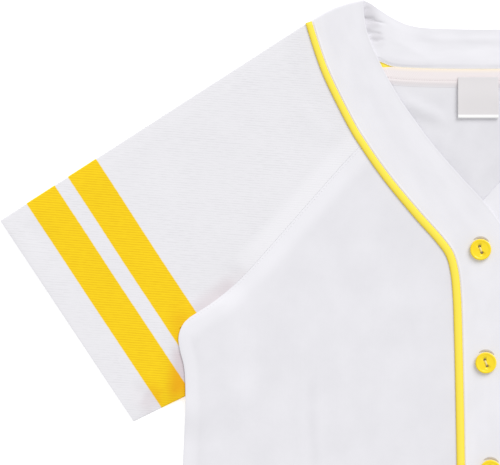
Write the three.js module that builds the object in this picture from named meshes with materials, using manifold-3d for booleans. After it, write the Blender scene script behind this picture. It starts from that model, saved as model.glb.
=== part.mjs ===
// Baseball jersey, laid flat on its back with its buttons done up: two fronts, a back, raglan
// short sleeves, a neck and front band on each side, yellow braid, a neck tape, a label and five
// buttons. Millimetres, +X to the viewer's right, +Y to the collar, +Z up from the surface that
// it lies on. The origin is on that surface, under the middle of the outline.

import * as THREE from "three";
import { mergeVertices } from "three/addons/utils/BufferGeometryUtils.js";
import Module from "manifold-3d";

const wasm = await Module();
wasm.setup();

// Driving dimensions. A point is given by how far it lies across from the centre line and down
// from the top of the shoulder. Left and right are the viewer's.

const BODY_LENGTH = 690;
const CLOTH = 1.2;
const TAPE_CLOTH = 1.0;
const LAYER_GAP = 0.3;
const SEAM_GAP = 0.36;
const FOLD_INSET = 3;
const MIRROR = { left: -1, right: 1 };

// Height of the underside of each layer
const FRONT_LEVEL = CLOTH + LAYER_GAP;
const TOP_BAND_LEVEL = 2 * CLOTH + 2 * LAYER_GAP + 0.1;

// The front bands: the seam to the body or sleeve, and the free edge at the neck and the front
const NECK_ROWS = [
  { seam: [147.6, 20.5], edge: [101.7, 0], steps: 3 },
  { seam: [133.2, 62.7], edge: [90, 46], steps: 3 },
  { seam: [110.5, 108.3], edge: [67.6, 83], steps: 1 },
  { seam: [102.3, 121.5], edge: [58.5, 96], steps: 2 },
  { seam: [84.4, 148.9], edge: [42.5, 118.5], steps: 2 },
  { seam: [57.5, 181], edge: [18, 148.5], steps: 2 },
];
const PLACKET_ROWS = {
  left: [
    { seam: [38, 203], edge: [0, 170.1], steps: 2 },
    { seam: [28.5, 215.5], edge: [-14.4, 188.8], steps: 2 },
    { seam: [24.3, 231], edge: [-26, 211], steps: 2 },
    { seam: [22.3, 252], edge: [-30, 243], steps: 1 },
    { seam: [21.3, 280], edge: [-30.9, 277], steps: 3 },
    { seam: [19, 394.6], edge: [-33.3, 393], steps: 5 },
    { seam: [16, 690], edge: [-36.3, 690], steps: 0 },
  ],
  right: [
    { seam: [44.5, 197.5], edge: [0, 170.1], steps: 2 },
    { seam: [37.5, 211], edge: [-9, 183], steps: 2 },
    { seam: [34.6, 228], edge: [-14.5, 203], steps: 2 },
    { seam: [34.2, 252], edge: [-16, 240], steps: 1 },
    { seam: [34.7, 280], edge: [-16, 277], steps: 3 },
    { seam: [37.2, 394.6], edge: [-14, 393], steps: 5 },
    { seam: [40.2, 690], edge: [-11, 690], steps: 0 },
  ],
};
const RAGLAN_ROW = 3;
const BAND_SHARES = [0, 0.25, 0.5, 0.75, 1];
const SHOULDER_CROWN = { height: 2.7, stations: 3 };
const SHOULDER_TURN_STEPS = 4;

// How far down the right band sinks from the level of the left one to lie beneath it
const RIGHT_DROP = { from: 108, to: 160 };

// The band behind the neck, from the shoulder fold to the centre back
const BACK_BAND_ROWS = [
  { seam: [147.6, 20.5], edge: [101.7, 0], steps: 1 },
  { seam: [134, 34], edge: [96, 2.2], steps: 1 },
  { seam: [119, 43.5], edge: [89, 6.8], steps: 1 },
  { seam: [102, 50], edge: [79, 13.5], steps: 1 },
  { seam: [83, 54], edge: [66, 19.5], steps: 1 },
  { seam: [60, 56.6], edge: [52, 22.6], steps: 1 },
  { seam: [30, 57.6], edge: [28, 23.6], steps: 1 },
  { seam: [0, 57.8], edge: [0, 24], steps: 0 },
];
const BACK_RAGLAN_ROW = 2;

// The seams of the body
const RAGLAN_ROWS = [
  { at: [102.3, 121.5], steps: 1 },
  { at: [113.9, 133.2], steps: 2 },
  { at: [148.2, 171.6], steps: 2 },
  { at: [178, 205.5], steps: 2 },
  { at: [207.8, 238.1], steps: 1 },
  { at: [226.8, 254.3], steps: 1 },
  { at: [243.5, 265.4], steps: 2 },
  { at: [253.4, 272.4], steps: 0 },
];
const SEAM_END_ROW = 6;
const BACK_RAGLAN_ROWS = [
  { at: [135, 90], steps: 2 },
  { at: [160, 146], steps: 2 },
  { at: [190, 197], steps: 2 },
  { at: [220, 240], steps: 1 },
  { at: [243.5, 265.4], steps: 2 },
  { at: [253.4, 272.4], steps: 0 },
];
const SIDE_ROWS = [
  { at: [253.4, 272.4], steps: 2 },
  { at: [259.1, 286.9], steps: 2 },
  { at: [254.6, 310.9], steps: 2 },
  { at: [252.7, 343.6], steps: 2 },
  { at: [255.1, 394.6], steps: 3 },
  { at: [259, 520], steps: 3 },
  { at: [263, 686], steps: 0 },
];

// The sleeve: its two folds run straight from the cuff to the neck and to under the body
const SLEEVE = {
  cuffTop: [409.3, 188],
  cuffBottom: [295.5, 357],
  hiddenEnd: [228, 323.2],
  hiddenBend: [229, 294],
  stations: 12,
};

// Where the body's side lies over the sleeve
const UNDERARM = {
  from: [243, 272],
  to: [240, 326],
  full: 20,
  fade: 32,
  bodyLift: 3.1,
  sleeveLift: 1.5,
};

// Broad soft swells of the front layer: the middle of each, its turn, half length, half width
// and height
const FRONT_SWELLS = [
  { across: 175, down: 300, turn: 0.55, length: 75, width: 26, height: 1.1 },
  { across: 110, down: 430, turn: -0.25, length: 120, width: 32, height: 0.9 },
  { across: 190, down: 560, turn: 0.15, length: 90, width: 30, height: 1.0 },
  { across: 95, down: 230, turn: 0.9, length: 60, width: 24, height: 0.8 },
];
const SLEEVE_SWELLS = [
  { across: 300, down: 262, turn: 0.5, length: 60, width: 22, height: 1.0 },
  { across: 215, down: 150, turn: 0.6, length: 70, width: 24, height: 0.9 },
];
const SEAM_RAMP = { from: 1, to: 28 };

// Trim
const BRAID = {
  shoulderWidth: 5.6,
  raglanWidth: 6.1,
  frontWidth: 7,
  wideningStations: 12,
  edge: 0.7,
  crown: 1.4,
};
const BACK_BRAID_WIDTH = 6;
const TAPE = { topHalf: 78, bottomHalf: 98, height: 16 };
const TAPE_MARKS = [1, 0.8, 0.6, 0.4, 0.2, 0, -0.2, -0.4, -0.6, -0.8, -1];
const LABEL = { across: 4, width: 34.5, top: 64.8, bottom: 99.6, fall: 0.9 };
const LABEL_ROWS = [0, 0.34, 0.67, 1];
const LABEL_FALL = { from: 0.3, to: 0.8 };
const BUTTON = { radius: 9, height: 3, hole: 1.1, spacing: 5.3, turn: -1.22, sides: 24, holeSides: 8 };

// The button's section, as shares of its radius and height
const BUTTON_PROFILE = [
  { across: 0, up: 0 },
  { across: 0.8, up: 0 },
  { across: 1, up: 0.35 },
  { across: 1, up: 0.7 },
  { across: 0.88, up: 1 },
  { across: 0.7, up: 0.85 },
  { across: 0.58, up: 0.55 },
  { across: 0, up: 0.5 },
];
const BUTTON_PLACES = [
  { across: -2.4, down: 211.4 },
  { across: 2.1, down: 307.5 },
  { across: 6, down: 398.8 },
  { across: 8.4, down: 491 },
  { across: 10, down: 583 },
];

const COLOURS = {
  cloth: 0xebeaef,
  band: 0xefeef3,
  sleeve: 0xeceaef,
  inside: 0xe5e4e9,
  tape: 0xf2eaea,
  label: 0xf0eeee,
  yellow: 0xf9d62a,
};

// Points and curves

function place([across, down]) {
  return new THREE.Vector2(across, BODY_LENGTH / 2 - down);
}

function curveThrough(rows, key) {
  const knots = rows.map((row) => place(row[key]));
  const curve = new THREE.CatmullRomCurve3(
    knots.map((knot) => new THREE.Vector3(knot.x, knot.y, 0)), false, "centripetal");
  const points = [];
  rows.slice(0, -1).forEach((row, index) => {
    for (let step = 0; step < row.steps; step += 1) {
      const point = curve.getPoint((index + step / row.steps) / (rows.length - 1));
      points.push(new THREE.Vector2(point.x, point.y));
    }
  });
  points.push(knots[knots.length - 1]);
  return points;
}

function stationOf(rows, rowIndex) {
  return rows.slice(0, rowIndex).reduce((sum, row) => sum + row.steps, 0);
}

function fractions(points) {
  const lengths = [0];
  for (let i = 1; i < points.length; i += 1) {
    lengths.push(lengths[i - 1] + points[i].distanceTo(points[i - 1]));
  }
  return lengths.map((length) => length / lengths[lengths.length - 1]);
}

function pointAlong(points, fraction) {
  const marks = fractions(points);
  const next = Math.max(1, marks.findIndex((mark) => mark >= fraction - 1e-9));
  const share = (fraction - marks[next - 1]) / (marks[next] - marks[next - 1]);
  return points[next - 1].clone().lerp(points[next], share);
}

// Moves an open line sideways, to the left of its direction where the distance is positive
function offsetLine(points, distance) {
  const normals = points.slice(1).map((point, i) => {
    const along = point.clone().sub(points[i]).normalize();
    return new THREE.Vector2(-along.y, along.x);
  });
  return points.map((point, i) => {
    const before = normals[Math.max(i - 1, 0)];
    const after = normals[Math.min(i, normals.length - 1)];
    const middle = before.clone().add(after).normalize();
    return point.clone().addScaledVector(middle, distance / middle.dot(after));
  });
}

function acrossCentre(points) {
  return points.map((point) => new THREE.Vector2(-point.x, point.y));
}

function distanceToSegment(point, from, to) {
  const along = to.clone().sub(from);
  const share = THREE.MathUtils.clamp(point.clone().sub(from).dot(along) / along.lengthSq(), 0, 1);
  return point.distanceTo(from.clone().addScaledVector(along, share));
}

function distanceToLine(point, line) {
  return Math.min(...line.slice(1).map((end, i) => distanceToSegment(point, line[i], end)));
}

// Surfaces: grids of points, and closed walls between two grids

// Fills a patch between four lines that meet at its corners
function patch(top, bottom, left, right) {
  const topMarks = fractions(top);
  const bottomMarks = fractions(bottom);
  const leftMarks = fractions(left);
  const rightMarks = fractions(right);
  const last = top.length - 1;
  const end = left.length - 1;
  return left.map((_, i) => top.map((__, j) => {
    const fall = j / last;
    const v = THREE.MathUtils.lerp(leftMarks[i], rightMarks[i], fall);
    const u = THREE.MathUtils.lerp(topMarks[j], bottomMarks[j], v);
    const point = top[j].clone().multiplyScalar(1 - v).addScaledVector(bottom[j], v);
    point.addScaledVector(left[i], 1 - u).addScaledVector(right[i], u);
    point.addScaledVector(top[0], -(1 - u) * (1 - v)).addScaledVector(top[last], -u * (1 - v));
    return point.addScaledVector(left[end], -(1 - u) * v).addScaledVector(right[end], -u * v);
  }));
}

function closedGeometry(points, triangles) {
  const volume = triangles.reduce((sum, [a, b, c]) => {
    return sum + points[a].dot(new THREE.Vector3().crossVectors(points[b], points[c]));
  }, 0);
  const faces = volume > 0 ? triangles : triangles.map(([a, b, c]) => [a, c, b]);
  const geometry = new THREE.BufferGeometry().setFromPoints(points);
  geometry.setIndex(faces.flat());
  return geometry;
}

// A wall between an inner and an outer grid of the same size. A tube's rows close on themselves.
function wall(inner, outer, isTube = false) {
  const rows = inner.length;
  const columns = inner[0].length;
  const points = [...inner.flat(), ...outer.flat()];
  const index = (side, i, j) => side * rows * columns + i * columns + (j % columns);
  const triangles = [];
  const quad = (a, b, c, d) => triangles.push([a, b, c], [a, c, d]);
  const lastColumn = isTube ? columns : columns - 1;
  const lastRow = rows - 1;
  for (let i = 0; i < lastRow; i += 1) {
    for (let j = 0; j < lastColumn; j += 1) {
      quad(index(1, i, j), index(1, i, j + 1), index(1, i + 1, j + 1), index(1, i + 1, j));
      quad(index(0, i, j), index(0, i + 1, j), index(0, i + 1, j + 1), index(0, i, j + 1));
    }
  }
  for (let j = 0; j < lastColumn; j += 1) {
    quad(index(0, 0, j), index(0, 0, j + 1), index(1, 0, j + 1), index(1, 0, j));
    quad(
      index(1, lastRow, j), index(1, lastRow, j + 1), index(0, lastRow, j + 1), index(0, lastRow, j));
  }
  for (let i = 0; i < lastRow && !isTube; i += 1) {
    quad(index(1, i, 0), index(1, i + 1, 0), index(0, i + 1, 0), index(0, i, 0));
    quad(
      index(0, i, lastColumn), index(0, i + 1, lastColumn),
      index(1, i + 1, lastColumn), index(1, i, lastColumn));
  }
  return closedGeometry(points, triangles);
}

function raised(grid, side, heightAt) {
  return grid.map((row) => row.map((point) => {
    return new THREE.Vector3(MIRROR[side] * point.x, point.y, heightAt(point));
  }));
}

function flatWall(grid, side, thickness, heightAt) {
  const lower = raised(grid, side, heightAt);
  const upper = raised(grid, side, (point) => heightAt(point) + thickness);
  return wall(lower, upper);
}

// The wall of an even thickness to both sides of a grid that may turn over on itself
function sheetWall(grid, thickness) {
  const at = (i, j) => {
    const row = grid[THREE.MathUtils.clamp(i, 0, grid.length - 1)];
    return row[THREE.MathUtils.clamp(j, 0, row.length - 1)];
  };
  const shifted = (distance) => grid.map((row, i) => row.map((point, j) => {
    const along = at(i + 1, j).clone().sub(at(i - 1, j));
    const over = at(i, j + 1).clone().sub(at(i, j - 1));
    return point.clone().addScaledVector(over.cross(along).normalize(), distance);
  }));
  return wall(shifted(-thickness / 2), shifted(thickness / 2));
}

// Heights

function levelAtSeam(side, point) {
  if (side === "left") return TOP_BAND_LEVEL;
  const down = BODY_LENGTH / 2 - point.y;
  const share = THREE.MathUtils.smoothstep(down, RIGHT_DROP.from, RIGHT_DROP.to);
  return THREE.MathUtils.lerp(TOP_BAND_LEVEL, FRONT_LEVEL, share);
}

function nearSeam(point, seam) {
  return 1 - THREE.MathUtils.smoothstep(distanceToLine(point, seam), SEAM_RAMP.from, SEAM_RAMP.to);
}

function underarmShare(point) {
  const distance = distanceToSegment(point, place(UNDERARM.from), place(UNDERARM.to));
  return 1 - THREE.MathUtils.smoothstep(distance, UNDERARM.full, UNDERARM.full + UNDERARM.fade);
}

function swellHeight(point, swells) {
  return swells.reduce((sum, swell) => {
    const local = point.clone().sub(place([swell.across, swell.down]));
    local.rotateAround(new THREE.Vector2(), swell.turn);
    const reach = Math.hypot(local.x / swell.length, local.y / swell.width);
    return sum + swell.height * (1 - THREE.MathUtils.smoothstep(reach, 0, 1));
  }, 0);
}

// Seam lines of one side, in that side's own coordinates

function seamLines(side) {
  const bandRows = [...NECK_ROWS, ...PLACKET_ROWS[side]];
  const seam = curveThrough(bandRows, "seam");
  const backSeam = curveThrough(BACK_BAND_ROWS, "seam");
  const backYoke = offsetLine(backSeam, BACK_BRAID_WIDTH + 2 * SEAM_GAP);
  const backRaglanRows = [{ at: yokeCorner(backYoke), steps: 2 }, ...BACK_RAGLAN_ROWS];
  return {
    seam,
    edge: curveThrough(bandRows, "edge"),
    raglanStation: stationOf(bandRows, RAGLAN_ROW),
    raglan: curveThrough(RAGLAN_ROWS, "at"),
    backSeam,
    backEdge: curveThrough(BACK_BAND_ROWS, "edge"),
    backYoke,
    backRaglan: curveThrough(backRaglanRows, "at"),
    backRaglanEnd: stationOf(backRaglanRows, backRaglanRows.length - 2),
    sideLine: curveThrough(SIDE_ROWS, "at"),
  };
}

function yokeCorner(backYoke) {
  const corner = backYoke[stationOf(BACK_BAND_ROWS, BACK_RAGLAN_ROW)];
  return [corner.x, BODY_LENGTH / 2 - corner.y];
}

// Panels of the body

function frontHeight(side, lines) {
  return (point) => {
    const rise = levelAtSeam(side, point) - FRONT_LEVEL;
    const near = nearSeam(point, lines.seam);
    const swell = (1 - near) * (1 - underarmShare(point)) * swellHeight(point, FRONT_SWELLS);
    return FRONT_LEVEL + rise * near + UNDERARM.bodyLift * underarmShare(point) + swell;
  };
}

function frontPanel(side) {
  const lines = seamLines(side);
  const raglan = [...lines.raglan].reverse();
  const bandSeam = lines.seam.slice(lines.raglanStation);
  const inset = offsetLine([...raglan, ...bandSeam.slice(1)], SEAM_GAP / 2);
  const top = inset.slice(0, raglan.length);
  const inner = inset.slice(raglan.length - 1);
  const outerSeam = [top[0], ...lines.sideLine.slice(1)];
  const outer = inner.map((_, i) => pointAlong(outerSeam, fractions(inner)[i]));
  const hemEnds = [outerSeam[outerSeam.length - 1], inner[inner.length - 1]];
  const bottom = top.map((_, j) => {
    const point = pointAlong(hemEnds, j / (top.length - 1));
    const bow = Math.sin((j / (top.length - 1)) * Math.PI / 2);
    point.y = THREE.MathUtils.lerp(hemEnds[0].y, hemEnds[1].y, bow);
    return point;
  });
  return flatWall(patch(top, bottom, outer, inner), side, CLOTH, frontHeight(side, lines));
}

function backPanel() {
  const lines = seamLines("left");
  const yoke = lines.backYoke.slice(stationOf(BACK_BAND_ROWS, BACK_RAGLAN_ROW));
  const half = [...[...lines.backRaglan].reverse(), ...yoke.slice(1)];
  const wholeTop = [...half, ...acrossCentre(half.slice(0, -1)).reverse()];
  const top = offsetLine(wholeTop, SEAM_GAP / 2);
  const side = [top[0], ...lines.sideLine.slice(1)];
  const bottomLeft = side[side.length - 1];
  const bottom = top.map((_, j) => {
    const share = j / (top.length - 1);
    const lowest = -BODY_LENGTH / 2;
    const y = THREE.MathUtils.lerp(bottomLeft.y, lowest, Math.sin(share * Math.PI));
    return new THREE.Vector2(bottomLeft.x * (1 - 2 * share), y);
  });
  return flatWall(patch(top, bottom, side, acrossCentre(side)), "left", CLOTH, () => 0);
}

// Sleeves

function sleeveEdge(armLine) {
  const edge = offsetLine(armLine, SEAM_GAP / 2);
  const last = edge.length - 1;
  const inset = (from, to) => from.clone().lerp(to, FOLD_INSET / from.distanceTo(to));
  const nearTop = inset(edge[0], edge[1]);
  const nearEnd = inset(edge[last], edge[last - 1]);
  return [edge[0], nearTop, ...edge.slice(1, last), nearEnd, edge[last]];
}

function sleeveRow(edge, share) {
  const cuff = [place(SLEEVE.cuffTop), place(SLEEVE.cuffBottom)];
  const marks = fractions(edge);
  const width = cuff[0].distanceTo(cuff[1]);
  const last = edge.length - 1;
  return edge.map((point, j) => {
    let mark = marks[j];
    if (j === 1) mark = FOLD_INSET / width;
    if (j === last - 1) mark = 1 - FOLD_INSET / width;
    return cuff[0].clone().lerp(cuff[1], mark).lerp(point, share);
  });
}

function sleeveFrontHeight(side, lines) {
  return (point) => {
    const rise = levelAtSeam(side, point) - FRONT_LEVEL;
    const near = nearSeam(point, lines.neckSeam);
    const swell = (1 - near) * (1 - underarmShare(point)) * swellHeight(point, SLEEVE_SWELLS);
    return FRONT_LEVEL + rise * near + UNDERARM.sleeveLift * underarmShare(point) + swell;
  };
}

function sleeve(side) {
  const lines = seamLines(side);
  const seamEnd = stationOf(RAGLAN_ROWS, SEAM_END_ROW);
  const hidden = [place(SLEEVE.hiddenBend), place(SLEEVE.hiddenEnd)];
  lines.neckSeam = lines.seam.slice(0, lines.raglanStation + 1);
  const frontArm = [...lines.neckSeam, ...lines.raglan.slice(1, seamEnd + 1), ...hidden];
  const yokeEnd = stationOf(BACK_BAND_ROWS, BACK_RAGLAN_ROW);
  const backRaglan = lines.backRaglan.slice(1, lines.backRaglanEnd + 1);
  const backArm = [lines.seam[0], ...lines.backYoke.slice(1, yokeEnd + 1), ...backRaglan, ...hidden];
  const frontEdge = sleeveEdge(frontArm);
  const backEdge = sleeveEdge(backArm);
  backEdge[0] = frontEdge[0];
  backEdge[backEdge.length - 1] = frontEdge[frontEdge.length - 1];
  const frontAt = sleeveFrontHeight(side, lines);
  const backAt = (point) => UNDERARM.sleeveLift * underarmShare(point);
  const loop = (share, isOuter) => {
    const front = sleeveRow(frontEdge, share);
    const back = sleeveRow(backEdge, share).reverse();
    const lift = isOuter ? CLOTH : 0;
    const at = (point, height) => new THREE.Vector3(MIRROR[side] * point.x, point.y, height);
    const over = (point) => at(point, frontAt(point) + lift);
    const under = (point) => at(point, backAt(point) + CLOTH - lift);
    const fold = (corner, next) => {
      const point = isOuter ? corner : corner.clone().lerp(next, 0.5);
      return at(point, (frontAt(corner) + CLOTH + backAt(corner)) / 2);
    };
    const last = front.length - 1;
    return [
      fold(front[0], front[1]), ...front.slice(1, last).map(over),
      fold(front[last], front[last - 1]), ...back.slice(1, -1).map(under),
    ];
  };
  const shares = Array.from({ length: SLEEVE.stations + 1 }, (_, i) => i / SLEEVE.stations);
  const inner = shares.map((share) => loop(share, false));
  const outer = shares.map((share) => loop(share, true));
  return wall(inner, outer, true);
}

// Bands: each runs from the hem up the front, round the V, over the shoulder and to the centre
// back

function acrossBand(seamPoint, edgePoint, crown, heightAt) {
  const along = edgePoint.clone().sub(seamPoint).normalize();
  const outward = new THREE.Vector2(-along.y, along.x);
  if (outward.y < 0) outward.negate();
  return BAND_SHARES.map((share) => {
    const point = seamPoint.clone().lerp(edgePoint, share);
    point.addScaledVector(outward, 4 * crown * share * (1 - share));
    return new THREE.Vector3(point.x, point.y, heightAt(point));
  });
}

function shoulderTurn(frontRow, backLevel) {
  const along = frontRow[frontRow.length - 1].clone().sub(frontRow[0]).setZ(0).normalize();
  const inward = new THREE.Vector3(along.y, -along.x, 0);
  if (inward.y > 0) inward.negate();
  const radius = (frontRow[0].z - backLevel) / 2;
  const reach = radius + CLOTH / 2;
  const angles = Array.from({ length: SHOULDER_TURN_STEPS + 1 }, (_, step) => {
    return (step / SHOULDER_TURN_STEPS) * Math.PI;
  });
  return angles.map((angle) => frontRow.map((point) => {
    const turned = point.clone().addScaledVector(inward, reach - radius * Math.sin(angle));
    return turned.setZ(backLevel + radius + radius * Math.cos(angle));
  }));
}

function band(side) {
  const lines = seamLines(side);
  const seam = offsetLine(lines.seam, -SEAM_GAP / 2);
  const backSeam = offsetLine(lines.backSeam, -SEAM_GAP / 2);
  const backLevel = CLOTH / 2;
  const frontAt = (point) => levelAtSeam(side, point) + CLOTH / 2;
  const crownAt = (i) => SHOULDER_CROWN.height * Math.max(0, 1 - i / SHOULDER_CROWN.stations);
  const front = seam.map((point, i) => acrossBand(point, lines.edge[i], crownAt(i), frontAt));
  const back = backSeam.map((point, i) => {
    return acrossBand(point, lines.backEdge[i], crownAt(i), () => backLevel);
  });
  back[back.length - 1].forEach((point) => point.setX(SEAM_GAP / 2));
  const turn = shoulderTurn(front[0], backLevel);
  const grid = [...front.slice(1).reverse(), ...turn, ...back.slice(1)];
  const placed = grid.map((row) => row.map((point) => point.clone().setX(MIRROR[side] * point.x)));
  return sheetWall(placed, CLOTH);
}

// Braid: a rounded strip on the seam of each band, and a flat one in the seam behind the neck

// The braid widens from the shoulder to the raglan seam and on to the front
function braidWidth(station, raglanStation) {
  if (station < raglanStation) {
    return THREE.MathUtils.lerp(BRAID.shoulderWidth, BRAID.raglanWidth, station / raglanStation);
  }
  const share = Math.min(1, (station - raglanStation) / BRAID.wideningStations);
  return THREE.MathUtils.lerp(BRAID.raglanWidth, BRAID.frontWidth, share);
}

function frontBraid(side) {
  const lines = seamLines(side);
  const profile = [
    { across: -0.5, up: 0 },
    { across: 0.5, up: 0 },
    { across: 0.5, up: BRAID.edge },
    { across: 0, up: BRAID.crown },
    { across: -0.5, up: BRAID.edge },
  ];
  const sideways = offsetLine(lines.seam, 1).map((point, i) => point.sub(lines.seam[i]));
  const lift = CLOTH + LAYER_GAP;
  const points = lines.seam.flatMap((centre, i) => profile.map(({ across, up }) => {
    const width = braidWidth(i, lines.raglanStation);
    const point = centre.clone().addScaledVector(sideways[i], across * width);
    const height = levelAtSeam(side, centre) + lift + up;
    return new THREE.Vector3(MIRROR[side] * point.x, point.y, height);
  }));
  const corners = profile.length;
  const triangles = [];
  for (let i = 0; i < lines.seam.length - 1; i += 1) {
    for (let k = 0; k < corners; k += 1) {
      const a = i * corners + k;
      const b = i * corners + ((k + 1) % corners);
      triangles.push([a, a + corners, b + corners], [a, b + corners, b]);
    }
  }
  const end = (lines.seam.length - 1) * corners;
  for (let k = 1; k < corners - 1; k += 1) {
    triangles.push([0, k, k + 1], [end, end + k + 1, end + k]);
  }
  return closedGeometry(points, triangles);
}

function backBraid() {
  const { backSeam } = seamLines("left");
  const whole = [...backSeam.slice(1), ...acrossCentre(backSeam.slice(1, -1)).reverse()];
  const rails = [0, 0.5, 1].map((share) => {
    return offsetLine(whole, SEAM_GAP / 2 + share * BACK_BRAID_WIDTH);
  });
  return flatWall(rails, "left", TAPE_CLOTH, () => 0);
}

// Neck tape and label, on the inside of the back

function pointAtAcross(points, across) {
  const next = points.findIndex((point) => point.x <= across);
  const before = points[next - 1];
  const share = (before.x - across) / (before.x - points[next].x);
  return before.clone().lerp(points[next], share);
}

function neckTape() {
  const { backSeam } = seamLines("left");
  const whole = [...backSeam.slice(0, -1), ...acrossCentre(backSeam).reverse()];
  const rails = [0, 0.5, 1].map((share) => {
    const rail = offsetLine(whole, share * TAPE.height);
    const half = THREE.MathUtils.lerp(TAPE.topHalf, TAPE.bottomHalf, share);
    return TAPE_MARKS.map((mark) => pointAtAcross(rail, mark * half));
  });
  return flatWall(rails, "left", TAPE_CLOTH, () => FRONT_LEVEL);
}

function neckLabel() {
  const level = FRONT_LEVEL + TAPE_CLOTH + LAYER_GAP;
  const grid = LABEL_ROWS.map((share) => [-0.5, 0, 0.5].map((over) => {
    const down = THREE.MathUtils.lerp(LABEL.top, LABEL.bottom, share);
    return place([LABEL.across + over * LABEL.width, down]);
  }));
  const sag = (point) => {
    const share = (BODY_LENGTH / 2 - point.y - LABEL.top) / (LABEL.bottom - LABEL.top);
    return level - LABEL.fall * THREE.MathUtils.smoothstep(share, LABEL_FALL.from, LABEL_FALL.to);
  };
  return flatWall(grid, "left", TAPE_CLOTH, sag);
}

// Buttons: a dished disc with a raised rim and two holes

function solidOf(geometry) {
  const bare = geometry.clone();
  bare.deleteAttribute("normal");
  bare.deleteAttribute("uv");
  const merged = mergeVertices(bare, 1e-4);
  return new wasm.Manifold(new wasm.Mesh({
    numProp: 3,
    vertProperties: new Float32Array(merged.attributes.position.array),
    triVerts: new Uint32Array(merged.index.array),
  }));
}

function geometryOf(solid) {
  const mesh = solid.getMesh();
  const geometry = new THREE.BufferGeometry();
  const positions = new Float32Array(mesh.vertProperties);
  geometry.setAttribute("position", new THREE.BufferAttribute(positions, 3));
  geometry.setIndex(new THREE.BufferAttribute(new Uint32Array(mesh.triVerts), 1));
  return geometry;
}

function button() {
  const { radius, height, hole } = BUTTON;
  const profile = BUTTON_PROFILE.map(({ across, up }) => {
    return new THREE.Vector2(across * radius, up * height);
  });
  const disc = new THREE.LatheGeometry(profile, BUTTON.sides).rotateX(Math.PI / 2);
  let solid = solidOf(disc);
  [-1, 1].forEach((end) => {
    const drill = new THREE.CylinderGeometry(hole, hole, 3 * height, BUTTON.holeSides);
    drill.rotateX(Math.PI / 2);
    const reach = end * BUTTON.spacing / 2;
    drill.translate(reach * Math.cos(BUTTON.turn), reach * Math.sin(BUTTON.turn), 0);
    solid = solid.subtract(solidOf(drill));
  });
  return geometryOf(solid);
}

// The jersey

const jersey = new THREE.Group();

function add(name, geometry, color, roughness = 0.85) {
  const material = new THREE.MeshStandardMaterial({ color, roughness, metalness: 0 });
  const mesh = new THREE.Mesh(geometry, material);
  mesh.name = name;
  jersey.add(mesh);
  return mesh;
}

add("back_panel", backPanel(), COLOURS.inside);
["left", "right"].forEach((side) => {
  add(`front_${side}`, frontPanel(side), COLOURS.cloth);
  add(`sleeve_${side}`, sleeve(side), COLOURS.sleeve);
  add(`neck_band_${side}`, band(side), COLOURS.band);
  add(`braid_${side}`, frontBraid(side), COLOURS.yellow, 0.6);
});
add("braid_back_neck", backBraid(), COLOURS.yellow, 0.6);
add("neck_tape", neckTape(), COLOURS.tape);
add("label", neckLabel(), COLOURS.label, 0.4);
BUTTON_PLACES.forEach(({ across, down }, index) => {
  const mesh = add(`button_${index + 1}`, button(), COLOURS.yellow, 0.35);
  mesh.position.set(across, BODY_LENGTH / 2 - down, TOP_BAND_LEVEL + CLOTH + LAYER_GAP);
});

export default jersey;
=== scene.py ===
import logging
import math
from collections.abc import Sequence
from dataclasses import dataclass
from enum import Enum
from typing import NamedTuple

import bmesh
import bpy
import numpy as np
from mathutils import Matrix, Vector


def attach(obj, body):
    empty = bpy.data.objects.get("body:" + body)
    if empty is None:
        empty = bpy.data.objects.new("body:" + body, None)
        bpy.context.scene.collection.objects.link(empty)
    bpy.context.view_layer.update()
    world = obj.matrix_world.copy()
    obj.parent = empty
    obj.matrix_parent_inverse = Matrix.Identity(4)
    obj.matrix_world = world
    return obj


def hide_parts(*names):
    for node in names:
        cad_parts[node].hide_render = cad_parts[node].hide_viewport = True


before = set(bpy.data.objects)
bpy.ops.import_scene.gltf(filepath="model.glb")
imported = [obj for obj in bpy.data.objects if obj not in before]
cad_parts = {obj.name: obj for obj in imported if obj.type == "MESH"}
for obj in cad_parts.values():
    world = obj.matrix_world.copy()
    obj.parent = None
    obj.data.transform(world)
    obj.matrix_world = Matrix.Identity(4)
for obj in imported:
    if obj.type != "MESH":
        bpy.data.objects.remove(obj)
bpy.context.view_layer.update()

# A baseball jersey laid flat on its back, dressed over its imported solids. Sizes are millimetres,
# and a point of the pattern is given by how far it lies across from the centre line and down from
# the top of the shoulder, as in the part's source. Left and right are the viewer's.

log = logging.getLogger("jersey")
Array = np.ndarray

MM = 0.001
BODY = "root"
BODY_LENGTH = 690.0
CLOTH = 1.2
LAYER_GAP = 0.3
SEAM_GAP = 0.36
CLOSED_SEAM = 0.04
BRAID_WIDTH = 6.0
FRONT_LEVEL = CLOTH + LAYER_GAP
TOP_BAND_LEVEL = 2 * CLOTH + 2 * LAYER_GAP + 0.1
RIGHT_DROP = (108.0, 160.0)
SEAM_RAMP = (1.0, 28.0)

# How far the stitch rows lie from the raglan seam and above the hem
RAGLAN_STITCHES = 1.9
HEM_STITCHES = (17.0, 19.4)

# The steps of the cloth's grids, the coarser steps of crease lines, and how near is one point
SPACING = 2.7
LOOSE_SPACING = 4 * SPACING
MERGE = 1e-6

# The floor that everything lies on is just under the cloth
FLOOR_DEPTH = 0.15

# Shader settings that finishes share, and about how many bands of a wave pattern lie in a unit
BANDS = {"wave_type": "BANDS", "bands_direction": "X", "Scale": 1.0}
NOISE = {"Scale": 1.0, "Detail": 2.0}
COLOURS = {"data_type": "RGBA"}
WAVE = 3.14


class Side(Enum):
    """One side of the jersey, as the viewer sees it."""

    LEFT = "left"
    RIGHT = "right"

    @property
    def mirror(self) -> int:
        """Which way the side's own coordinates run along X."""
        return -1 if self is Side.LEFT else 1


class BandRow(NamedTuple):
    """A station of a band: its seam point and its free edge point, as across and down."""

    seam: tuple[float, float]
    edge: tuple[float, float]


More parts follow.
